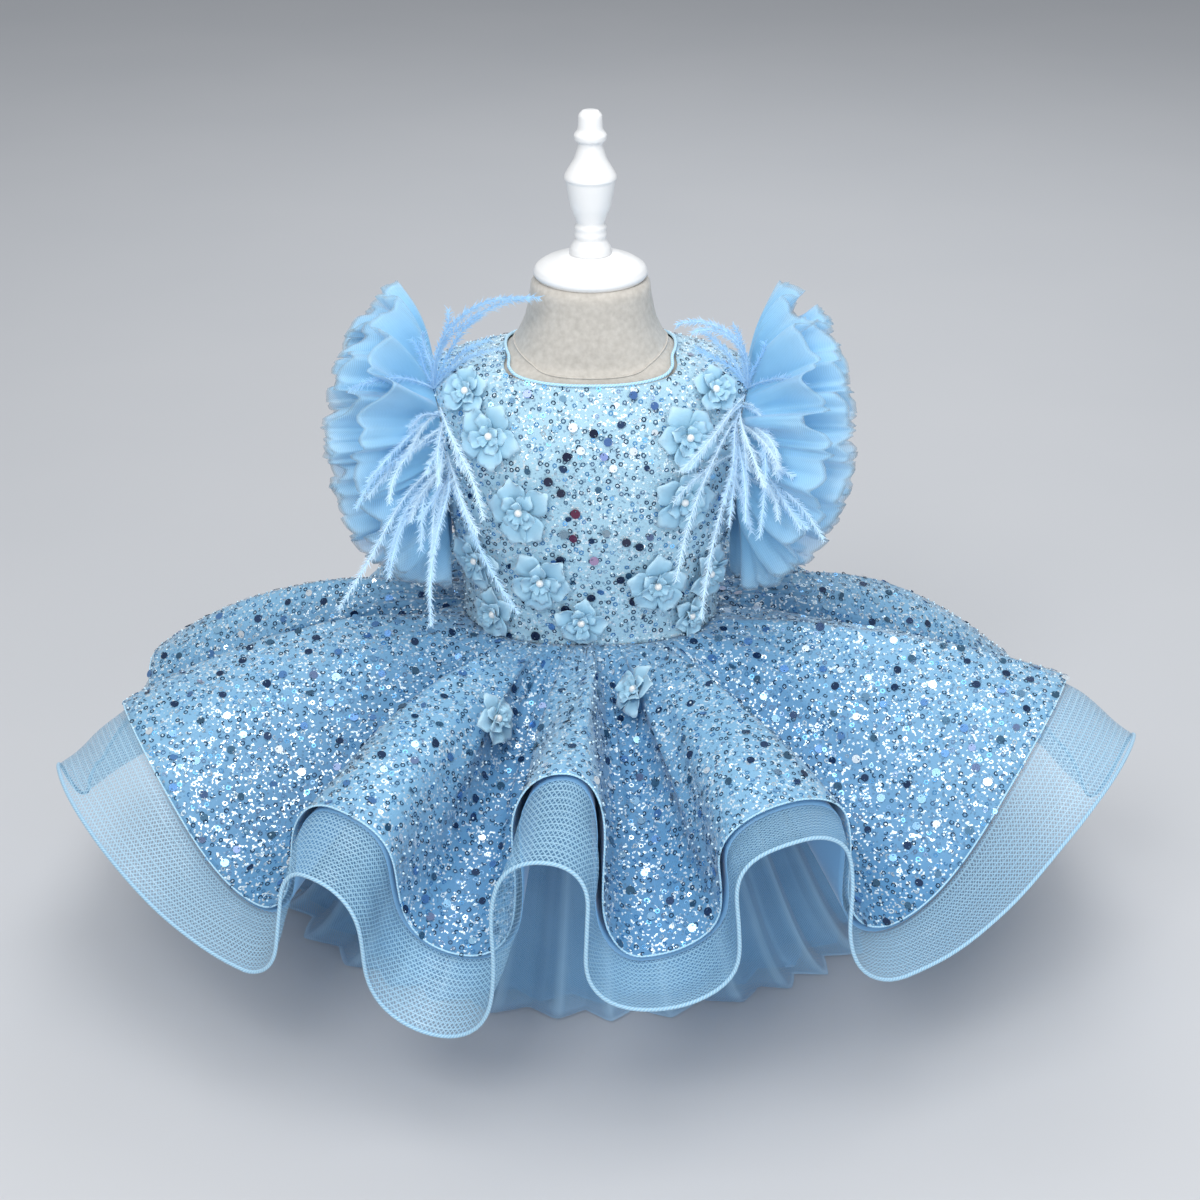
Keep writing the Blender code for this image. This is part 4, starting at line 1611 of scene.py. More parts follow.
@dataclass
class Bodice(Assembly):
    """Three sequinned panels and the narrow binding at the neck."""

    rows: int = 60
    lift: float = 0.0002
    hem: float = 0.0012
    thickness: float = 0.0006
    binding_radius: float = 0.0012
    binding_width: float = 0.0100
    piping_radius: float = 0.0007
    piping_spread: float = 1.01
    panels: dict[str, bpy.types.Object] = field(default_factory=dict, init=False)

    def point(self, nominal: float, level: float, lift: float) -> Vector:
        """Point of the bodice: nominal is the azimuth before the armholes draw it in.

        Args:
            nominal: Azimuth.
            level: Share up, from the waist.
            lift: Distance off the body.

        Returns:
            Point.
        """
        z = mix(WAIST_Z - self.hem, self.body.neckline(nominal), level)
        turn = math.remainder(nominal, 360.0)
        away = abs(turn) if abs(turn) <= 90 else 180.0 - abs(turn)
        away *= self.body.armhole(z) / 90.0
        if abs(turn) > 90:
            away = 180.0 - away
        azimuth = math.copysign(away, turn)
        side = abs(math.sin(math.radians(turn)))
        pull = bump_between(z, WAIST_Z, WAIST_Z + 0.05) + bump_between(z, 0.300, 0.352) * side
        crease = noise.noise(Vector((azimuth * 0.16, z * 22.0, 1.0))) * 0.0009 * pull
        soft = noise.noise(Vector((azimuth * 0.05, z * 30.0, 4.0))) * 0.0005
        flare = 0.0016 * max(0.0, 1.0 - (z - WAIST_Z + self.hem) / 0.006) ** 2
        return self.body.out(azimuth, z, lift + max(crease + soft, -0.0006) + 0.0006 + flare)

    def _panel(self, label: str, centre: float, half_span: float, columns: int) -> None:
        """One panel from waist to neckline.

        Args:
            label: Its name.
            centre: Azimuth of its middle.
            half_span: Half its width in degrees.
            columns: Its steps round.
        """

        def place(u: float, v: float) -> Vector:
            """Point of the panel."""
            return self.point(centre + half_span * (2.0 * u - 1.0), v, self.lift)

        def middle(u: float, v: float) -> float:
            """The bodice gets no painted fold shade, so its colour stays between the two."""
            return 0.5

        grid = ClothGrid(f"bodice_net_{label}", columns, self.rows, place, painted_shading_and_rim_tint=middle)
        piece = thicken(grid.build(), self.thickness)
        self.wardrobe.hand_over(piece, [NET_BODICE], [f"bodice_{label}"])
        declare_cloth(piece, grid)
        self.panels[label] = piece

    def _neck_binding(self) -> None:
        """Folded satin strip round the neckline."""

        def edge(u: float) -> tuple[Vector, Vector]:
            """Line of the binding."""
            azimuth = 360.0 * u
            z = self.body.neckline(azimuth) + 0.0010
            return self.body.out(azimuth, z, 0.0015), self.body.normal(azimuth, z)

        grid = tube("neck_bias", edge, self.binding_radius, 240, closed=True, sides=12, wrap=0.94)
        piece = turn_out(grid.build(), fill=False)
        self.wardrobe.hand_over(piece, [ROLLED_HEM], ["neck_binding"])

    def _armhole_piping(self) -> None:
        """Fine rolled edge round each armhole."""
        for side in Side:

            def edge(u: float, side: Side = side) -> tuple[Vector, Vector]:
                """Line of the armhole."""
                angle = math.tau * u
                y = -ARMHOLE.half_depth * self.piping_spread * math.sin(angle)
                z = ARMHOLE.z + ARMHOLE.half_height * self.piping_spread * math.cos(angle)
                azimuth = self.body.side_azimuth(y, z)
                place = self.body.out(azimuth, z, 0.0010)
                across = self.body.normal(azimuth, z)
                place.x *= side.value
                across.x *= side.value
                return place, across

            name = f"armhole_piping_{side.name.lower()}"
            self.cord(tube(name, edge, self.piping_radius, 160, closed=True), ROLLED_HEM)

    def build(self) -> None:
        """Build the bodice."""
        self._panel("front", 0.0, 89.99, 116)
        self._panel("back_left", -135.0, 44.99, 58)
        self._panel("back_right", 135.0, 44.99, 58)
        self._neck_binding()
        self._armhole_piping()


@dataclass(frozen=True)
class Tier:
    """Gathered strip round the armhole; leans run from straight out (0) to flat on the body (90)."""

    name: str
    root_scale: float
    lift: float
    top_lean: float
    side_lean: float
    foot_lean: float
    waves: int
    wave_depth: float
    phase: float


@dataclass
class Sleeves(Assembly):
    """Doubled net strips, pleated and fanned round each armhole."""

    tiers: tuple[Tier, ...] = (
        Tier("inner", 1.0, 0.0025, 60.0, 46.0, 80.0, 17, 0.0060, 0.0),
        Tier("middle", 0.972, 0.0047, 36.0, 21.0, 55.0, 16, 0.0055, 0.4),
        Tier("outer", 0.925, 0.0066, 11.0, -4.0, 30.0, 15, 0.0050, 0.7),
    )
    width_top: float = 0.066
    width_side: float = 0.088
    width_foot: float = 0.074
    pleat_depth: float = 0.0034
    steps: int = 16
    columns_per_wave: int = 26

    @staticmethod
    def _rim(u: float, v: float) -> float:
        """How near the folded rim a point is."""
        return (1.0 - abs(2.0 * v - 1.0)) ** 3

    def _point(self, tier: Tier, side: Side, u: float, v: float) -> Vector:
        """Point of a strip, which is folded double at v = 0.5.

        Args:
            tier: Strip.
            side: Side of the dress.
            u: Share round.
            v: Share along.

        Returns:
            Point.
        """
        out = 1.0 - abs(2.0 * v - 1.0)
        angle = math.tau * u
        circle = Vector((math.cos(angle), math.sin(angle), tier.phase)) * 2.6
        drift = noise.noise(circle + Vector((0.0, 0.0, side.value * 3.0)))
        notch = noise.noise(circle * 2.3 + Vector((0.0, 0.0, side.value * 5.0)))
        count = tier.waves * 2
        main = -math.cos(math.pi * (count * u - tier.phase) + 2.4 * drift + 1.2 * notch)
        fine = math.asin(math.sin(angle * (count + 9) + 6.0 * notch)) * 0.64
        up, forward = math.cos(angle), math.sin(angle)
        y = -ARMHOLE.half_depth * tier.root_scale * forward
        z = ARMHOLE.z + ARMHOLE.half_height * tier.root_scale * up
        root = self.body.out(self.body.side_azimuth(y, z), z, tier.lift)
        radial = Vector((0.0, -forward, up))
        end_lean, end_width = tier.foot_lean, self.width_foot
        if up > 0:
            end_lean, end_width = tier.top_lean, self.width_top
        lean = math.radians(mix(tier.side_lean, end_lean, up * up))
        width = mix(self.width_side, end_width, up * up)
        ahead = Vector((math.cos(lean), 0.0, 0.0)) + radial * math.sin(lean)
        across = Vector((-math.sin(lean), 0.0, 0.0)) + radial * math.cos(lean)
        gap = mix(0.0007, 0.0026, out) * math.sqrt(max(0.0, 1.0 - out**10)) / 2.0
        depth = mix(0.0002, tier.wave_depth * 1.35, out) * main * (0.85 + 1.2 * notch)
        depth += mix(0.0001, self.pleat_depth, out) * fine * (0.9 + 0.9 * drift)
        depth += gap if v > 0.5 else -gap
        bite = 0.990 - 0.06 * abs(drift) - 0.17 * max(0.0, notch) - 0.040 * max(0.0, fine)
        reach = width * bite * out
        billow = 0.0085 * math.sin(math.pi * out) * (0.4 + drift + notch)
        droop = out * out * (0.008 * notch - 0.016 * drift)
        place = root + ahead * reach + across * (depth + billow + droop)
        place.x *= side.value
        return place

    def build(self) -> None:
        """Build every strip of both sleeves."""
        for side in Side:
            for tier in self.tiers:

                def place(u: float, v: float, side: Side = side, tier: Tier = tier) -> Vector:
                    """Point of this strip."""
                    return self._point(tier, side, u % 1.0, v)

                label = f"{side.name.lower()}_{tier.name}"
                grid = ClothGrid(
                    f"ruffle_{label}",
                    tier.waves * self.columns_per_wave,
                    self.steps * 2,
                    place,
                    closed=True,
                    painted_shading_and_rim_tint=self._rim,
                )
                piece = grid.build()
                self.wardrobe.hand_over(piece, [RUFFLE_NET], [f"sleeve_{label}"])
                declare_cloth(piece, grid)


@dataclass(frozen=True)
class FlowerSpot:
    """Place of a flower on the front of the body, with its size and turn."""

    x: float
    z: float
    radius: float
    turn: float


@dataclass(frozen=True)
class SkirtFlower:
    """Place of a flower on the skirt, in folds round it and share down it."""

    turn: float
    along: float
    radius: float
    spin: float


@dataclass(frozen=True)
class Petal:
    """Size of one petal: how far it reaches, its half width, its cup and its lift."""

    reach: float
    width: float
    cup: float
    lift: float


@dataclass
class Flowers(Assembly):
    """Chiffon flowers with a pearl, over the bodice, along the waist seam and two on the skirt."""

    skirt: SkirtShape
    spots: tuple[FlowerSpot, ...] = (
        FlowerSpot(-0.0890, 0.4380, 0.0155, 10.0),
        FlowerSpot(-0.0720, 0.4110, 0.0200, 40.0),
        FlowerSpot(-0.0511, 0.3570, 0.0210, 5.0),
        FlowerSpot(-0.0825, 0.3085, 0.0195, 30.0),
        FlowerSpot(-0.0362, 0.3010, 0.0200, 55.0),
        FlowerSpot(0.0890, 0.4390, 0.0155, 20.0),
        FlowerSpot(0.0706, 0.4100, 0.0200, 0.0),
        FlowerSpot(0.0667, 0.3630, 0.0205, 35.0),
        FlowerSpot(0.0481, 0.2965, 0.0200, 15.0),
        FlowerSpot(0.0855, 0.2945, 0.0185, 50.0),
        FlowerSpot(-0.0700, 0.2660, 0.0165, 12.0),
        FlowerSpot(-0.0070, 0.2680, 0.0160, 33.0),
        FlowerSpot(0.0720, 0.2640, 0.0135, 50.0),
    )
    skirt_spots: tuple[SkirtFlower, ...] = (
        SkirtFlower(5.45, 0.30, 0.0175, 80.0),
        SkirtFlower(2.52, 0.43, 0.0165, 20.0),
    )
    pearl_radius: float = 0.0030
    pearl_rise: float = 0.0052
    bloom: float = 1.16
    chiffon: float = 0.00025
    cut_share: float = 0.75
    clear_share: float = 0.75

    @staticmethod
    def _petal(
        bm: bmesh.types.BMesh,
        frame: Matrix,
        turn: float,
        petal: Petal,
        rng: np.random.Generator,
    ) -> None:
        """Add one cupped petal that leaves the middle at an angle.

        Args:
            bm: The flower's mesh.
            frame: The flower's place, facing along Z.
            turn: The petal's angle in the flower, in radians.
            petal: Its size.
            rng: Source of its curl.
        """
        made = bmesh.ops.create_grid(bm, x_segments=6, y_segments=8, size=0.5, calc_uvs=False)
        layer = bm.verts.layers.float["reach"]
        curl = rng.uniform(0.5, 1.4)
        skew = rng.uniform(-0.14, 0.14)
        wave = rng.uniform(0.0, math.tau)
        for vert in made["verts"]:
            side, out = vert.co.x * 2.0, vert.co.y + 0.5
            vert[layer] = out
            spread = max(out, 0.06) ** 0.62 * (1.0 - 0.74 * out**5)
            distance = petal.reach * out * (1.0 - 0.16 * side * side * out**3)
            across = petal.width * side * spread + skew * petal.reach * out * out
            rise = petal.lift + petal.cup * math.sin(out * 1.45) - 0.0038 * curl * out**4
            flutter = 0.0011 * math.sin(side * 3.6 + wave) * out
            rise += (0.0030 * side * side - 0.0008) * spread + flutter
            vert.co = Vector((distance, across, rise))
        spin = Matrix.Rotation(turn, 4, "Z")
        bmesh.ops.transform(bm, matrix=frame @ spin, verts=made["verts"])

    def _flower(
        self,
        number: int,
        centre: Vector,
        normal: Vector,
        radius: float,
        spin: float,
        nodes: Sequence[str],
    ) -> None:
        """Build one flower and its pearl.

        Args:
            number: Its number, which also seeds its petals.
            centre: The middle of its back.
            normal: The way it faces.
            radius: Its size.
            spin: Its turn about the normal, in degrees.
            nodes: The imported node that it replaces, if any.
        """
        rng = np.random.default_rng(100 + number)
        side = normal.cross(Vector((0.0, 0.0, 1.0))).normalized()
        up = side.cross(normal).normalized()
        frame = Matrix((side, up, normal)).transposed().to_4x4()
        frame.translation = centre
        bm = bmesh.new()
        bm.verts.layers.float.new("reach")
        turn = math.radians(spin)
        radius *= self.bloom
        for k in range(5):
            angle = turn + math.tau * k / 5 + rng.uniform(-0.12, 0.12)
            reach = radius * rng.uniform(1.02, 1.16)
            petal = Petal(reach, radius * 0.64, rng.uniform(0.0050, 0.0080), 0.0003)
            self._petal(bm, frame, angle, petal, rng)
        for k in range(4):
            angle = turn + 0.6 + math.tau * k / 4 + rng.uniform(-0.2, 0.2)
            reach = radius * rng.uniform(0.62, 0.76)
            petal = Petal(reach, radius * 0.40, rng.uniform(0.0065, 0.0090), 0.0014)
            self._petal(bm, frame, angle, petal, rng)
        for k in range(4):
            angle = turn + math.tau * k / 4 + rng.uniform(-0.2, 0.2)
            petal = Petal(radius * 0.40, radius * 0.26, 0.0078, 0.0018)
            self._petal(bm, frame, angle, petal, rng)
        flower = object_from(bm, f"petals_{number:02d}")
        thicken(flower, self.chiffon, 0.0)
        self.wardrobe.hand_over(flower, [Chiffon()], nodes)
        bm = bmesh.new()
        place = frame @ Matrix.Translation((0.0, 0.0, self.pearl_rise))
        bmesh.ops.create_icosphere(bm, subdivisions=3, radius=self.pearl_radius, matrix=place)
        pearl = self.wardrobe.hand_over(object_from(bm, f"flower_pearl_{number:02d}"), [Pearl()])

    def roots(self) -> tuple[tuple[Vector, float], ...]:
        """Where each flower sits, with the radius that its middle takes up."""
        places = []
        for spot in self.spots:
            azimuth = self.body.front_azimuth(spot.x, spot.z)
            places.append((self.body.out(azimuth, spot.z, CLOTH), spot.radius * self.clear_share))
        for spot in self.skirt_spots:
            root = self.skirt.lifted(spot.turn, spot.along, CLOTH)
            places.append((root, spot.radius * self.clear_share))
        return tuple(places)

    def build(self) -> None:
        """Build every flower."""
        for number, spot in enumerate(self.spots, 1):
            azimuth = self.body.front_azimuth(spot.x, spot.z)
            centre = self.body.out(azimuth, spot.z, CLOTH + 0.0008)
            normal = self.body.normal(azimuth, spot.z)
            self._flower(number, centre, normal, spot.radius, spot.turn, [f"flower_{number:02d}"])
        for number, spot in enumerate(self.skirt_spots, len(self.spots) + 1):
            centre = self.skirt.lifted(spot.turn, spot.along, 0.0020)
            normal = self.skirt.normal(spot.turn, spot.along)
            self._flower(number, centre, normal, spot.radius, spot.spin, [])


@dataclass(frozen=True)
class Frond:
    """Path of one feather: out from the neck, towards -Y and up, bent inward and down on its way."""

    out: float
    forward: float
    up: float
    length: float
    inward: float
    down: float
    hook: float = 0.0


@dataclass
class Tuft:
    """Points, faces and tones of a tuft, to which its feathers are added."""

    points: list[Vector] = field(default_factory=list)
    faces: list[tuple[int, ...]] = field(default_factory=list)
    tones: list[float] = field(default_factory=list)


FEATHER_FRONT = Vector((0.3, -1.0, 0.2))


@dataclass
class Feathers(Assembly):
    """Ostrich tufts that rise and fall over the front of each shoulder."""

    rising: dict[Side, tuple[Frond, ...]] = field(
        default_factory=lambda: {
            Side.LEFT: (
                Frond(0.04, 0.20, 0.97, 0.138, 4.0, 2.6, 0.006),
                Frond(0.02, 0.20, 0.97, 0.114, 6.3, 1.5, 0.014),
                Frond(0.30, 0.20, 0.90, 0.048, 0.0, 1.0),
                Frond(0.10, 0.20, 0.95, 0.052, 0.0, 1.0),
                Frond(-0.14, 0.18, 0.95, 0.070, 0.6, 0.4),
                Frond(-0.40, 0.22, 0.90, 0.066, 3.8, 3.6),
                Frond(-0.50, 0.28, 0.84, 0.070, 3.4, 4.0),
                Frond(-0.25, 0.20, 0.92, 0.080, 2.6, 2.0),
                Frond(0.55, 0.60, 0.60, 0.090, -1.0, 4.2),
            ),
            Side.RIGHT: (
                Frond(0.08, 0.18, 0.98, 0.112, 5.0, 3.6, 0.008),
                Frond(0.06, 0.24, 0.96, 0.096, 5.2, 3.2, 0.012),
                Frond(-0.30, 0.20, 0.92, 0.068, 3.0, 3.0),
                Frond(-0.10, 0.20, 0.95, 0.060, 1.6, 1.4),
                Frond(-0.45, 0.26, 0.86, 0.060, 3.4, 4.0),
                Frond(0.25, 0.20, 0.92, 0.044, 0.0, 1.0),
                Frond(0.50, 0.60, 0.60, 0.070, -1.0, 4.8),
            ),
        }
    )
    count: int = 30
    tape_z: tuple[float, float] = (0.4335, 0.3620)
    quill_steps: int = 24
    quill_radii: tuple[float, float] = (0.00050, 0.00020)
    barb_pitch: float = 0.00060
    barb_length: float = 0.0054
    barb_width: float = 0.00030
    barb_steps: int = 3

    def _frond(self, side: Side, order: int, rng: np.random.Generator) -> Frond:
        """Path of one frond by its place on the tape.

        Args:
            side: Side of the dress.
            order: Its place on the tape.
            rng: Source of its chances.

        Returns:
            Path.
        """
        if order < len(self.rising[side]):
            return self.rising[side][order]
        share = order / (self.count - 1)
        return Frond(
            out=(-0.10, 0.62)[order % 2] + rng.uniform(-0.30, 0.26),
            forward=0.90,
            up=mix(0.50, -0.10, share) + rng.uniform(-0.20, 0.25),
            length=rng.uniform(0.055, 0.125),
            inward=rng.uniform(-3.0, 4.0),
            down=rng.uniform(3.8, 6.8),
            hook=rng.uniform(-0.004, 0.008),
        )

    def _tuft(self, side: Side) -> None:
        """Build one tuft from arrays: a quill of triangles and its barbs.

        Args:
            side: Side of the dress.
        """
        rng = np.random.default_rng(40 + side.value)
        tuft = Tuft()
        for order in range(self.count):
            frond = self._frond(side, order, rng)
            rises = order < len(self.rising[side])
            z = mix(*self.tape_z, 0.0 if rises else rng.uniform(0.05, 1.0))
            azimuth = self.body.armhole(z) - 3.4
            root = self.body.out(azimuth, z, 0.0030)
            root.x *= side.value
            tone = rng.uniform(0.05, 0.40) if rises else rng.uniform(0.35, 0.95)
            self._feather(tuft, root, frond, side, tone, rng)
        label = side.name.lower()
        piece = toned_object(f"plumes_{label}", tuft.points, tuft.faces, tuft.tones)
        self.wardrobe.hand_over(piece, [Plume()], [f"feathers_{label}"])

    def _feather(
        self,
        tuft: Tuft,
        root: Vector,
        frond: Frond,
        side: Side,
        tone: float,
        rng: np.random.Generator,
    ) -> None:
        """Add one feather's quill and barbs to the arrays.

        Args:
            tuft: The tuft that it is added to.
            root: Where the feather starts.
            frond: Its path.
            side: Side of the dress.
            tone: How pale it is.
            rng: Source of its chances.
        """
        points, faces, tones = tuft.points, tuft.faces, tuft.tones
        start = Vector((frond.out * side.value, -frond.forward, frond.up)).normalized()
        bend = Vector((-frond.inward * side.value, 0.0, -frond.down))
        sway = Vector((rng.uniform(-0.004, 0.004), rng.uniform(-0.003, 0.003), 0.0))

        def spot(distance: float) -> Vector:
            """Middle of the quill."""
            share = distance / frond.length
            drop = Vector((0.0, 0.0, -frond.hook)) * share**6
            swing = sway * math.sin(math.tau * share) * share
            return root + start * distance + bend * distance**2 + drop + swing

        def at(distance: float) -> tuple[Vector, Vector]:
            """Middle of the quill and the way it runs."""
            return spot(distance), (spot(distance + 0.0005) - spot(distance - 0.0005)).normalized()

        first = len(points)
        for k in range(self.quill_steps + 1):
            middle, ahead = at(frond.length * k / self.quill_steps)
            across = ahead.cross(FEATHER_FRONT).normalized()
            other = ahead.cross(across)
            size = mix(*self.quill_radii, k / self.quill_steps)
            for j in range(3):
                angle = math.tau * j / 3
                points.append(middle + (across * math.cos(angle) + other * math.sin(angle)) * size)
                tones.append(min(1.0, tone + 0.2))
        for k in range(self.quill_steps):
            for j in range(3):
                a, b = first + k * 3 + j, first + k * 3 + (j + 1) % 3
                faces.append((a, b, b + 3, a + 3))
        for k in range(int(frond.length / self.barb_pitch)):
            distance = k * self.barb_pitch + rng.uniform(0.0, self.barb_pitch)
            share = distance / frond.length
            middle, ahead = at(distance)
            flank = ahead.cross(FEATHER_FRONT).normalized()
            over = flank.cross(ahead)
            fullness = 0.55 + 0.9 * share - 0.75 * share**4
            for way in (-1, 1):
                length = self.barb_length * rng.uniform(0.45, 1.25) * fullness
                heading = flank * way * rng.uniform(0.35, 0.90) + ahead * rng.uniform(0.4, 1.0)
                heading = (heading + over * rng.uniform(-0.55, 0.55)).normalized()
                droop = Vector((0.0, 0.0, -1.0)) * rng.uniform(-0.1, 0.65)
                droop += ahead * rng.uniform(0.0, 0.5)
                base = len(points)
                ribbon = heading.cross(over).normalized() * self.barb_width
                for step in range(self.barb_steps + 1):
                    reach = step / self.barb_steps
                    place = middle + heading * length * reach + droop * length * 0.5 * reach**2
                    thin = ribbon * (1.15 - reach)
                    points += [place - thin, place + thin]
                    tones += [min(1.0, tone * (0.55 + 0.6 * reach))] * 2
                for step in range(self.barb_steps):
                    a = base + step * 2
                    faces.append((a, a + 1, a + 3, a + 2))

    def build(self) -> None:
        """Build both tufts."""
        for side in Side:
            self._tuft(side)


@dataclass
class ZipFastener(Assembly):
    """Slider of the concealed zip at the centre back, and the tab hinged to it."""

    softening: float = 0.00022
    flat_angle: float = 2.0
    edge_angle: float = 30.0
    seam_z: tuple[float, float] = (0.262, 0.452)
    seam_step: float = 0.0035
    seam_room: float = 0.0031
    tab_z: tuple[float, float] = (0.405, 0.436)
    tab_room: float = 0.0054

    def line(self) -> tuple[tuple[Vector, float], ...]:
        """Places down the back opening that are kept clear of trim, each with its radius."""
        low, high = self.seam_z
        places = []
        for step in range(int((high - low) / self.seam_step) + 1):
            z = low + step * self.seam_step
            room = self.tab_room if self.tab_z[0] < z < self.tab_z[1] else self.seam_room
            places.append((self.body.out(180.0, z, CLOTH), room))
        return tuple(places)

    def _rounded(self, name: str, node: str, body: str) -> None:
        """Build a piece on a packed one's form, with its edges rounded.

        Args:
            name: Piece's name.
            node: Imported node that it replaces.
            body: Body that it moves with.
        """
        bm = bmesh.new()
        bm.from_mesh(frame_nodes()[node].data)
        bmesh.ops.remove_doubles(bm, verts=bm.verts, dist=MERGE)
        flat = math.radians(self.flat_angle)
        bmesh.ops.dissolve_limit(bm, angle_limit=flat, verts=bm.verts, edges=bm.edges)
        sharp = [e for e in bm.edges if e.calc_face_angle(0.0) > math.radians(self.edge_angle)]
        bmesh.ops.bevel(
            bm,
            geom=sharp,
            offset=self.softening,
            offset_type="OFFSET",
            segments=2,
            profile=0.5,
            material=-1,
            affect="EDGES",
            clamp_overlap=True,
        )
        self.wardrobe.hand_over(object_from(bm, name, smooth=False), [Enamel()], [node], body)

    def build(self) -> None:
        """Build the slider and its tab."""
        self._rounded("zip_slider_body", "zip_slider", BODY)
        self._rounded("zip_tab", "zip_pull_tab", TAB)


class Tint(Enum):
    """Tints of the bodice's large beads, as places on the bead foil's ramp."""

    NAVY = 0.05
    BLUE = 0.22
    PERIWINKLE = 0.36
    GREY = 0.50
    MAUVE = 0.64
    MAROON = 0.78
    WHITE = 0.95


BEADS: dict[Tint, tuple[tuple[float, float], ...]] = {
    Tint.NAVY: (
        (0.0026, 0.4163), (-0.0171, 0.3999), (-0.0303, 0.3820), (-0.0216, 0.3738), (0.0262, 0.3344),
        (0.0359, 0.3304), (-0.0219, 0.3203), (0.0219, 0.3033), (0.0003, 0.2884), (-0.0185, 0.2778),
        (-0.0478, 0.2826), (-0.0406, 0.2530), (0.0317, 0.2837),
    ),
    Tint.MAROON: ((-0.0106, 0.3575), (-0.0122, 0.3383)),
    Tint.BLUE: ((0.0128, 0.4107), (0.0311, 0.4400), (0.0464, 0.4332)),
    Tint.PERIWINKLE: ((0.0099, 0.4000), (-0.0455, 0.4400)),
    Tint.GREY: ((-0.0195, 0.3414), (0.0114, 0.3424)),
    Tint.MAUVE: ((0.0026, 0.3199),),
    Tint.WHITE: ((-0.0069, 0.4043), (0.0165, 0.3921), (0.0311, 0.4038), (-0.0127, 0.4203)),
}


@dataclass(frozen=True)
class TrimKind:
    """One kind of small trim: how far apart it lies, its size and how much it tilts."""

    kind: Speck
    spacing: float
    radius: float
    tilt: float
    lift: float


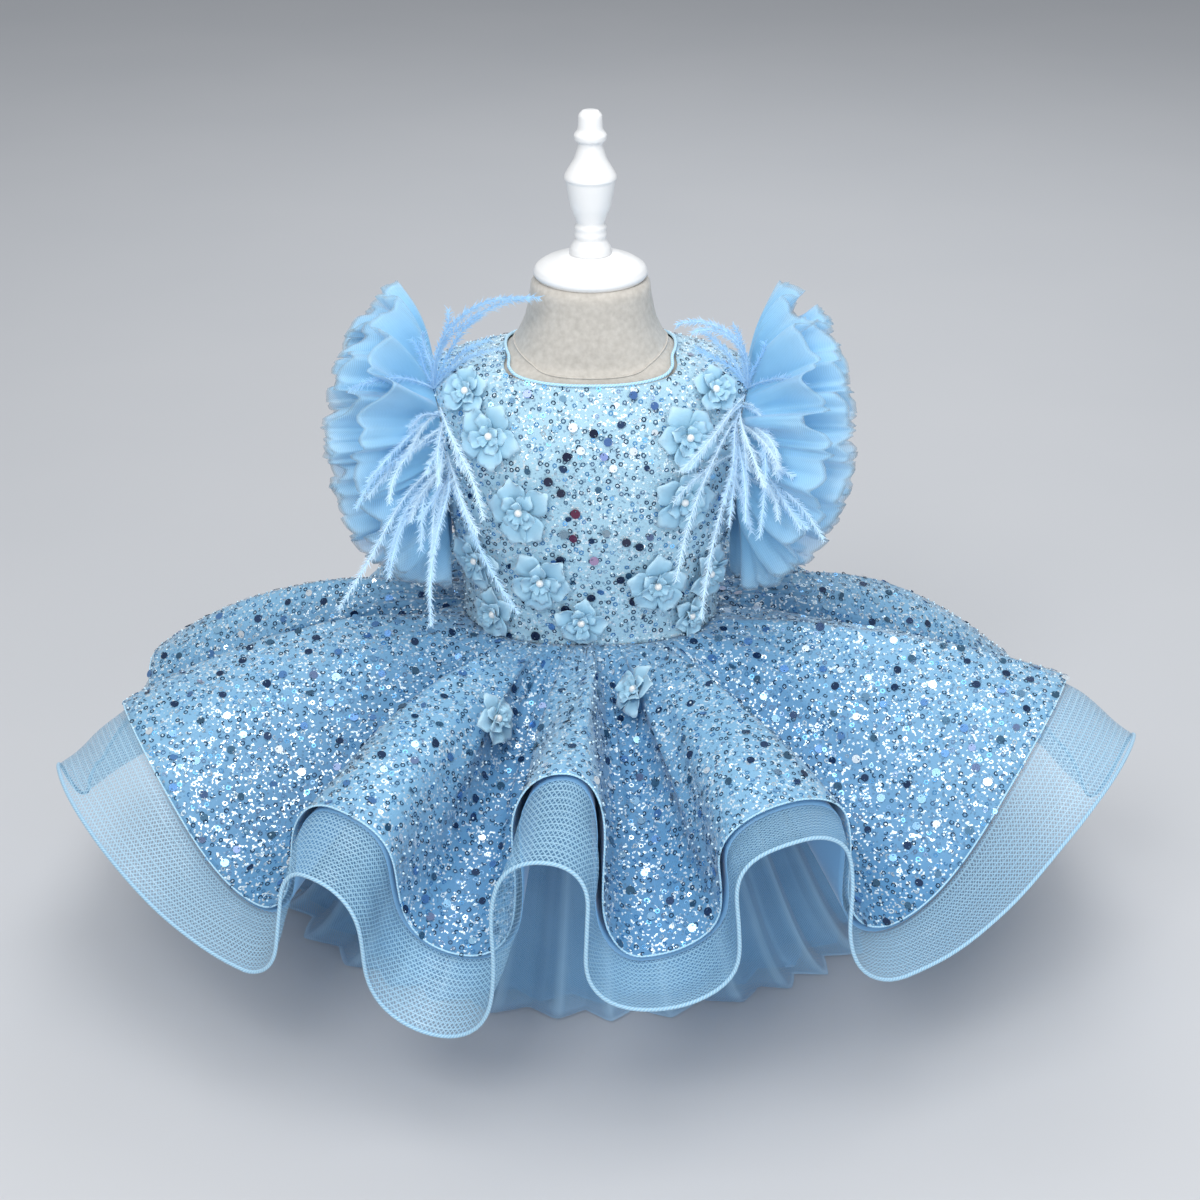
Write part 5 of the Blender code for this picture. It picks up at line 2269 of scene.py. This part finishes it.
@dataclass
class Trim:
    """Sequins and seed pearls that are scattered over finished cloth."""

    wardrobe: Wardrobe
    avoid: tuple[tuple[Vector, float], ...] = ()
    rings: TrimKind = TrimKind(Speck.RING, 0.0058, 0.0019, 0.42, 0.0010)
    discs: TrimKind = TrimKind(Speck.DISC, 0.0190, 0.0031, 0.34, 0.0016)
    glints: TrimKind = TrimKind(Speck.DISC, 0.0300, 0.0026, 0.50, 0.0016)
    pearls: TrimKind = TrimKind(Speck.PEARL, 0.0100, 0.0010, 0.0, 0.0012)
    beads: TrimKind = TrimKind(Speck.DISC, 0.0, 0.0034, 0.22, 0.0014)
    bead_thickness: float = 0.0009

    def _template(self, trim: TrimKind) -> tuple[np.ndarray, list[tuple[int, ...]]]:
        """Points and faces of one piece of trim, lying flat.

        Args:
            trim: Kind of trim.

        Returns:
            Its points and its faces.
        """
        bm = bmesh.new()
        if trim.kind is Speck.PEARL:
            bmesh.ops.create_icosphere(bm, subdivisions=1, radius=trim.radius)
        else:
            sides = 6 if trim.kind is Speck.RING else 9
            bmesh.ops.create_circle(bm, cap_ends=True, segments=sides, radius=trim.radius)
            bmesh.ops.inset_individual(bm, faces=bm.faces[:], thickness=trim.radius * 0.45, depth=0.0)
            hole = max(bm.faces, key=lambda f: len(f.verts))
            if trim.kind is Speck.DISC:
                middle = hole.calc_center_median()
                for vert in hole.verts:
                    vert.co = middle + (vert.co - middle) * 0.32 + Vector((trim.radius * 0.52, 0.0, 0.0))
            bmesh.ops.delete(bm, geom=[hole], context="FACES_ONLY")
        bm.verts.index_update()
        points = np.array([v.co for v in bm.verts])
        faces = [tuple(v.index for v in f.verts) for f in bm.faces]
        bm.free()
        return points, faces

    @staticmethod
    def _spots(
        piece: bpy.types.Object,
        spacing: float,
        rng: np.random.Generator,
    ) -> tuple[np.ndarray, np.ndarray]:
        """Points at least a spacing apart on a piece's faces, with their normals.

        Args:
            piece: Finished cloth.
            spacing: Spacing.
            rng: Source of its chances.

        Returns:
            Points and the normals.
        """
        mesh = piece.data
        mesh.calc_loop_triangles()
        corners = np.empty(len(mesh.vertices) * 3)
        mesh.vertices.foreach_get("co", corners)
        corners = corners.reshape(-1, 3)
        triangles = np.array([t.vertices[:] for t in mesh.loop_triangles])
        a, b, c = (corners[triangles[:, k]] for k in range(3))
        cross = np.cross(b - a, c - a)
        areas = np.linalg.norm(cross, axis=1) / 2.0
        count = int(areas.sum() / spacing**2 * 1.5)
        chosen = rng.choice(len(areas), size=count, p=areas / areas.sum())
        u, v = rng.random(count), rng.random(count)
        over = u + v > 1.0
        u[over], v[over] = 1.0 - u[over], 1.0 - v[over]
        places = a[chosen] + (b - a)[chosen] * u[:, None] + (c - a)[chosen] * v[:, None]
        normals = cross[chosen] / (2.0 * areas[chosen][:, None])
        cells: dict[tuple[int, ...], list[int]] = {}
        apart = (spacing * 0.70) ** 2
        kept = []
        for index, place in enumerate(places):
            key = tuple(int(n) for n in np.floor(place / spacing))
            i, j, k = key
            near = (
                other
                for cell in product((i - 1, i, i + 1), (j - 1, j, j + 1), (k - 1, k, k + 1))
                for other in cells.get(cell, ())
            )
            if all(((places[other] - place) ** 2).sum() > apart for other in near):
                cells.setdefault(key, []).append(index)
                kept.append(index)
        return places[kept], normals[kept]

    def place_all(
        self,
        name: str,
        trim: TrimKind,
        places: np.ndarray,
        normals: np.ndarray,
        tones: np.ndarray,
        rng: np.random.Generator,
    ) -> bpy.types.Object:
        """Join many copies of a template into one mesh.

        Args:
            name: The joined piece's name.
            trim: The kind of trim.
            places: A point for each copy.
            normals: The cloth's normal at each.
            tones: A number from 0 to 1 for each copy's tint.
            rng: Source of the tilts.

        Returns:
            The joined piece.
        """
        points, faces = self._template(trim)
        count, size = len(places), len(points)
        normals = normals + rng.normal(0.0, trim.tilt / 2.0, normals.shape)
        normals /= np.linalg.norm(normals, axis=1)[:, None]
        across = np.cross(normals, rng.normal(0.0, 1.0, normals.shape))
        across /= np.linalg.norm(across, axis=1)[:, None]
        frames = np.stack([across, np.cross(normals, across), normals], axis=1)
        grown = rng.uniform(0.88, 1.12, count)
        shaped = np.einsum("pk,nkc->npc", points, frames) * grown[:, None, None]
        shaped += (places + normals * trim.lift)[:, None, :]
        all_faces = [tuple(i + n * size for i in face) for n in range(count) for face in faces]
        made = toned_object(name, shaped.reshape(-1, 3), all_faces, np.repeat(tones, size))
        if trim.kind is Speck.PEARL:
            made.data.shade_smooth()
        return made

    def scatter(self, piece: bpy.types.Object, trim: TrimKind, finish: Finish, seed: int) -> None:
        """Scatter one kind of trim over a finished sheet.

        Args:
            piece: Sheet.
            trim: Kind of trim.
            finish: Its finish.
            seed: Seed of its places.
        """
        rng = np.random.default_rng(seed)
        places, normals = self._spots(piece, trim.spacing, rng)
        clear = np.ones(len(places), dtype=bool)
        for middle, radius in self.avoid:
            clear &= np.linalg.norm(places - np.array(middle), axis=1) > radius
        places, normals = places[clear], normals[clear]
        tones = rng.random(len(places))
        made = self.place_all(f"{trim.kind.value}s_{piece.name}", trim, places, normals, tones, rng)
        self.wardrobe.hand_over(made, [finish])

    def build(self, sheets: Iterable[bpy.types.Object], large: TrimKind) -> None:
        """Scatter every kind over some sheets.

        Args:
            sheets: The finished cloth.
            large: The kind of disc that goes between the rings.
        """
        for number, sheet in enumerate(sheets):
            self.scatter(sheet, self.rings, RING_FOIL, 10 + number)
            self.scatter(sheet, large, DISC_FOIL, 20 + number)
            self.scatter(sheet, self.pearls, SEED_PEARL, 30 + number)

    def build_beads(self, body: BodyShape) -> None:
        """Place the large beads of the bodice's front one by one.

        Args:
            body: The body that they lie on.
        """
        rng = np.random.default_rng(5)
        places, normals, tones = [], [], []
        for tint, x, z in ((tint, *spot) for tint, spots in BEADS.items() for spot in spots):
            azimuth = body.front_azimuth(x, z)
            places.append(body.out(azimuth, z, CLOTH + 0.0010))
            normals.append(body.normal(azimuth, z))
            tones.append(tint.value)
        laid = (np.array(places), np.array(normals), np.array(tones))
        made = self.place_all("bodice_beads", self.beads, *laid, rng)
        thicken(made, self.bead_thickness)
        self.wardrobe.hand_over(made, [BEAD_FOIL])


@dataclass(frozen=True)
class Lamp:
    """Square area light."""

    name: str
    place: tuple[float, float, float]
    size: float
    watts: float
    tint: Colour


@dataclass
class Studio:
    """Pale floor, soft light and the photograph's camera."""

    wardrobe: Wardrobe
    lamps: tuple[Lamp, ...] = (
        Lamp("key", (-0.7, -2.3, 2.3), 1.0, 40.0, (1.0, 0.985, 0.96)),
        Lamp("top", (0.1, -0.5, 2.6), 1.5, 28.0, (1.0, 0.99, 0.98)),
        Lamp("fill", (1.2, -2.5, 0.8), 1.7, 24.0, (0.95, 0.975, 1.0)),
        Lamp("back", (0.3, 2.0, 1.9), 1.4, 16.0, (0.96, 0.98, 1.0)),
    )
    aim: tuple[float, float, float] = (0.0, 0.0, 0.28)
    sky: Colour = (0.90, 0.94, 1.0)
    sky_strength: float = 0.40
    camera_place: tuple[float, float, float] = (0.007, -1.9, 1.13)
    camera_pitch: float = 65.1
    lens: float = 80.55
    floor_size: float = 14.0

    def _light(self, lamp: Lamp) -> None:
        """Hang one light that faces the dress.

        Args:
            lamp: The light.
        """
        light = bpy.data.lights.new(lamp.name, "AREA")
        light.size = lamp.size
        light.energy = lamp.watts
        light.color = lamp.tint
        made = linked(lamp.name, light)
        place = Vector(lamp.place)
        made.location = place
        made.rotation_euler = (Vector(self.aim) - place).to_track_quat("-Z", "Y").to_euler()

    def build(self) -> None:
        """Set the stage."""
        bm = bmesh.new()
        bmesh.ops.create_grid(bm, x_segments=4, y_segments=4, size=self.floor_size / 2, calc_uvs=True)
        floor = object_from(bm, "studio_floor")
        self.wardrobe.wear(floor, StudioFloor())
        for lamp in self.lamps:
            self._light(lamp)
        world = bpy.data.worlds.new("studio_world")
        world.use_nodes = True
        backdrop = world.node_tree.nodes["Background"].inputs
        backdrop["Color"].default_value = (*self.sky, 1.0)
        backdrop["Strength"].default_value = self.sky_strength
        bpy.context.scene.world = world
        bpy.context.scene.view_settings.view_transform = "Standard"
        camera = bpy.data.cameras.new("camera")
        camera.lens = self.lens
        camera.sensor_width = 36.0
        made = linked("camera", camera)
        made.location = self.camera_place
        made.rotation_euler = (math.radians(self.camera_pitch), 0.0, 0.0)
        bpy.context.scene.camera = made


# The skirt net's colour and shade lie far apart for its painted fold shade: pale on the crests, dark in
# the troughs.
NET_SKIRT = SequinNet("sequin_net_skirt", (0.250, 0.520, 0.760), (0.070, 0.250, 0.490), 0.82)
NET_BODICE = SequinNet("sequin_net_bodice", (0.460, 0.690, 0.810), (0.310, 0.560, 0.730), 0.96)
PETTICOAT_NET = Tulle("petticoat_net", (0.19, 0.45, 0.73), (0.33, 0.62, 0.90), 0.28, -0.24)
RUFFLE_NET = Tulle("ruffle_net", (0.240, 0.610, 0.930), (0.360, 0.720, 0.990), 0.50, 0.26)
ROLLED_HEM = Braid("rolled_hem", "satin", (0.36, 0.66, 0.90), (0.52, 0.80, 0.96))
HEM_CORD = Braid("hem_cord", "horsehair_braid", (0.26, 0.50, 0.72), (0.44, 0.69, 0.86))
SEED_PEARL = Pearl("seed_pearl", "sequinned_net", (0.55, 0.78, 0.93), (0.72, 0.90, 0.98))
# The palest stop is a painted glint: a few rings are painted near white to stand for sequins that catch
# the light.
RING_FOIL = Foil(
    "ring_foil",
    (
        (0.0, (0.020, 0.060, 0.130)),
        (0.42, (0.05, 0.14, 0.26)),
        (0.64, (0.10, 0.34, 0.66)),
        (0.86, (0.70, 0.86, 0.96)),
    ),
)
# The palest stop is a painted glint: a few discs are painted near white to stand for sequins that catch
# the light.
DISC_FOIL = Foil(
    "disc_foil",
    (
        (0.0, (0.015, 0.045, 0.120)),
        (0.34, (0.05, 0.14, 0.24)),
        (0.55, (0.10, 0.26, 0.56)),
        (0.74, (0.32, 0.60, 0.84)),
        (0.88, (0.85, 0.94, 1.0)),
    ),
    0.60,
)
BEAD_FOIL = Foil(
    "bead_foil",
    (
        (0.0, (0.006, 0.012, 0.045)),
        (0.15, (0.06, 0.15, 0.38)),
        (0.30, (0.24, 0.33, 0.68)),
        (0.44, (0.22, 0.31, 0.38)),
        (0.58, (0.36, 0.25, 0.42)),
        (0.72, (0.10, 0.012, 0.05)),
        (0.88, (0.85, 0.93, 0.98)),
    ),
    0.2,
    0.16,
)


def frame_nodes() -> dict[str, bpy.types.Object]:
    """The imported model's nodes."""
    return {o["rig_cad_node"]: o for o in bpy.data.objects if "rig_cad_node" in o}


def main() -> None:
    """Load the frame and build everything on it."""
    logging.basicConfig(level=logging.INFO, format="%(message)s")
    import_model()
    wardrobe = Wardrobe()
    body = BodyShape()
    Studio(wardrobe).build()
    DressForm(body, wardrobe).build()
    bodice = Bodice(body, wardrobe)
    bodice.build()
    shape = SkirtShape(body)
    skirt = Skirt(body, wardrobe, shape)
    skirt.build()
    Petticoat(body, wardrobe).build()
    Sleeves(body, wardrobe).build()
    flowers = Flowers(body, wardrobe, shape)
    flowers.build()
    Feathers(body, wardrobe).build()
    fastener = ZipFastener(body, wardrobe)
    fastener.build()
    trim = Trim(wardrobe, flowers.roots() + fastener.line())
    trim.build(skirt.over.values(), trim.discs)
    trim.build(bodice.panels.values(), trim.glints)
    trim.build_beads(body)
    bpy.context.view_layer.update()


if __name__ == "__main__":
    main()
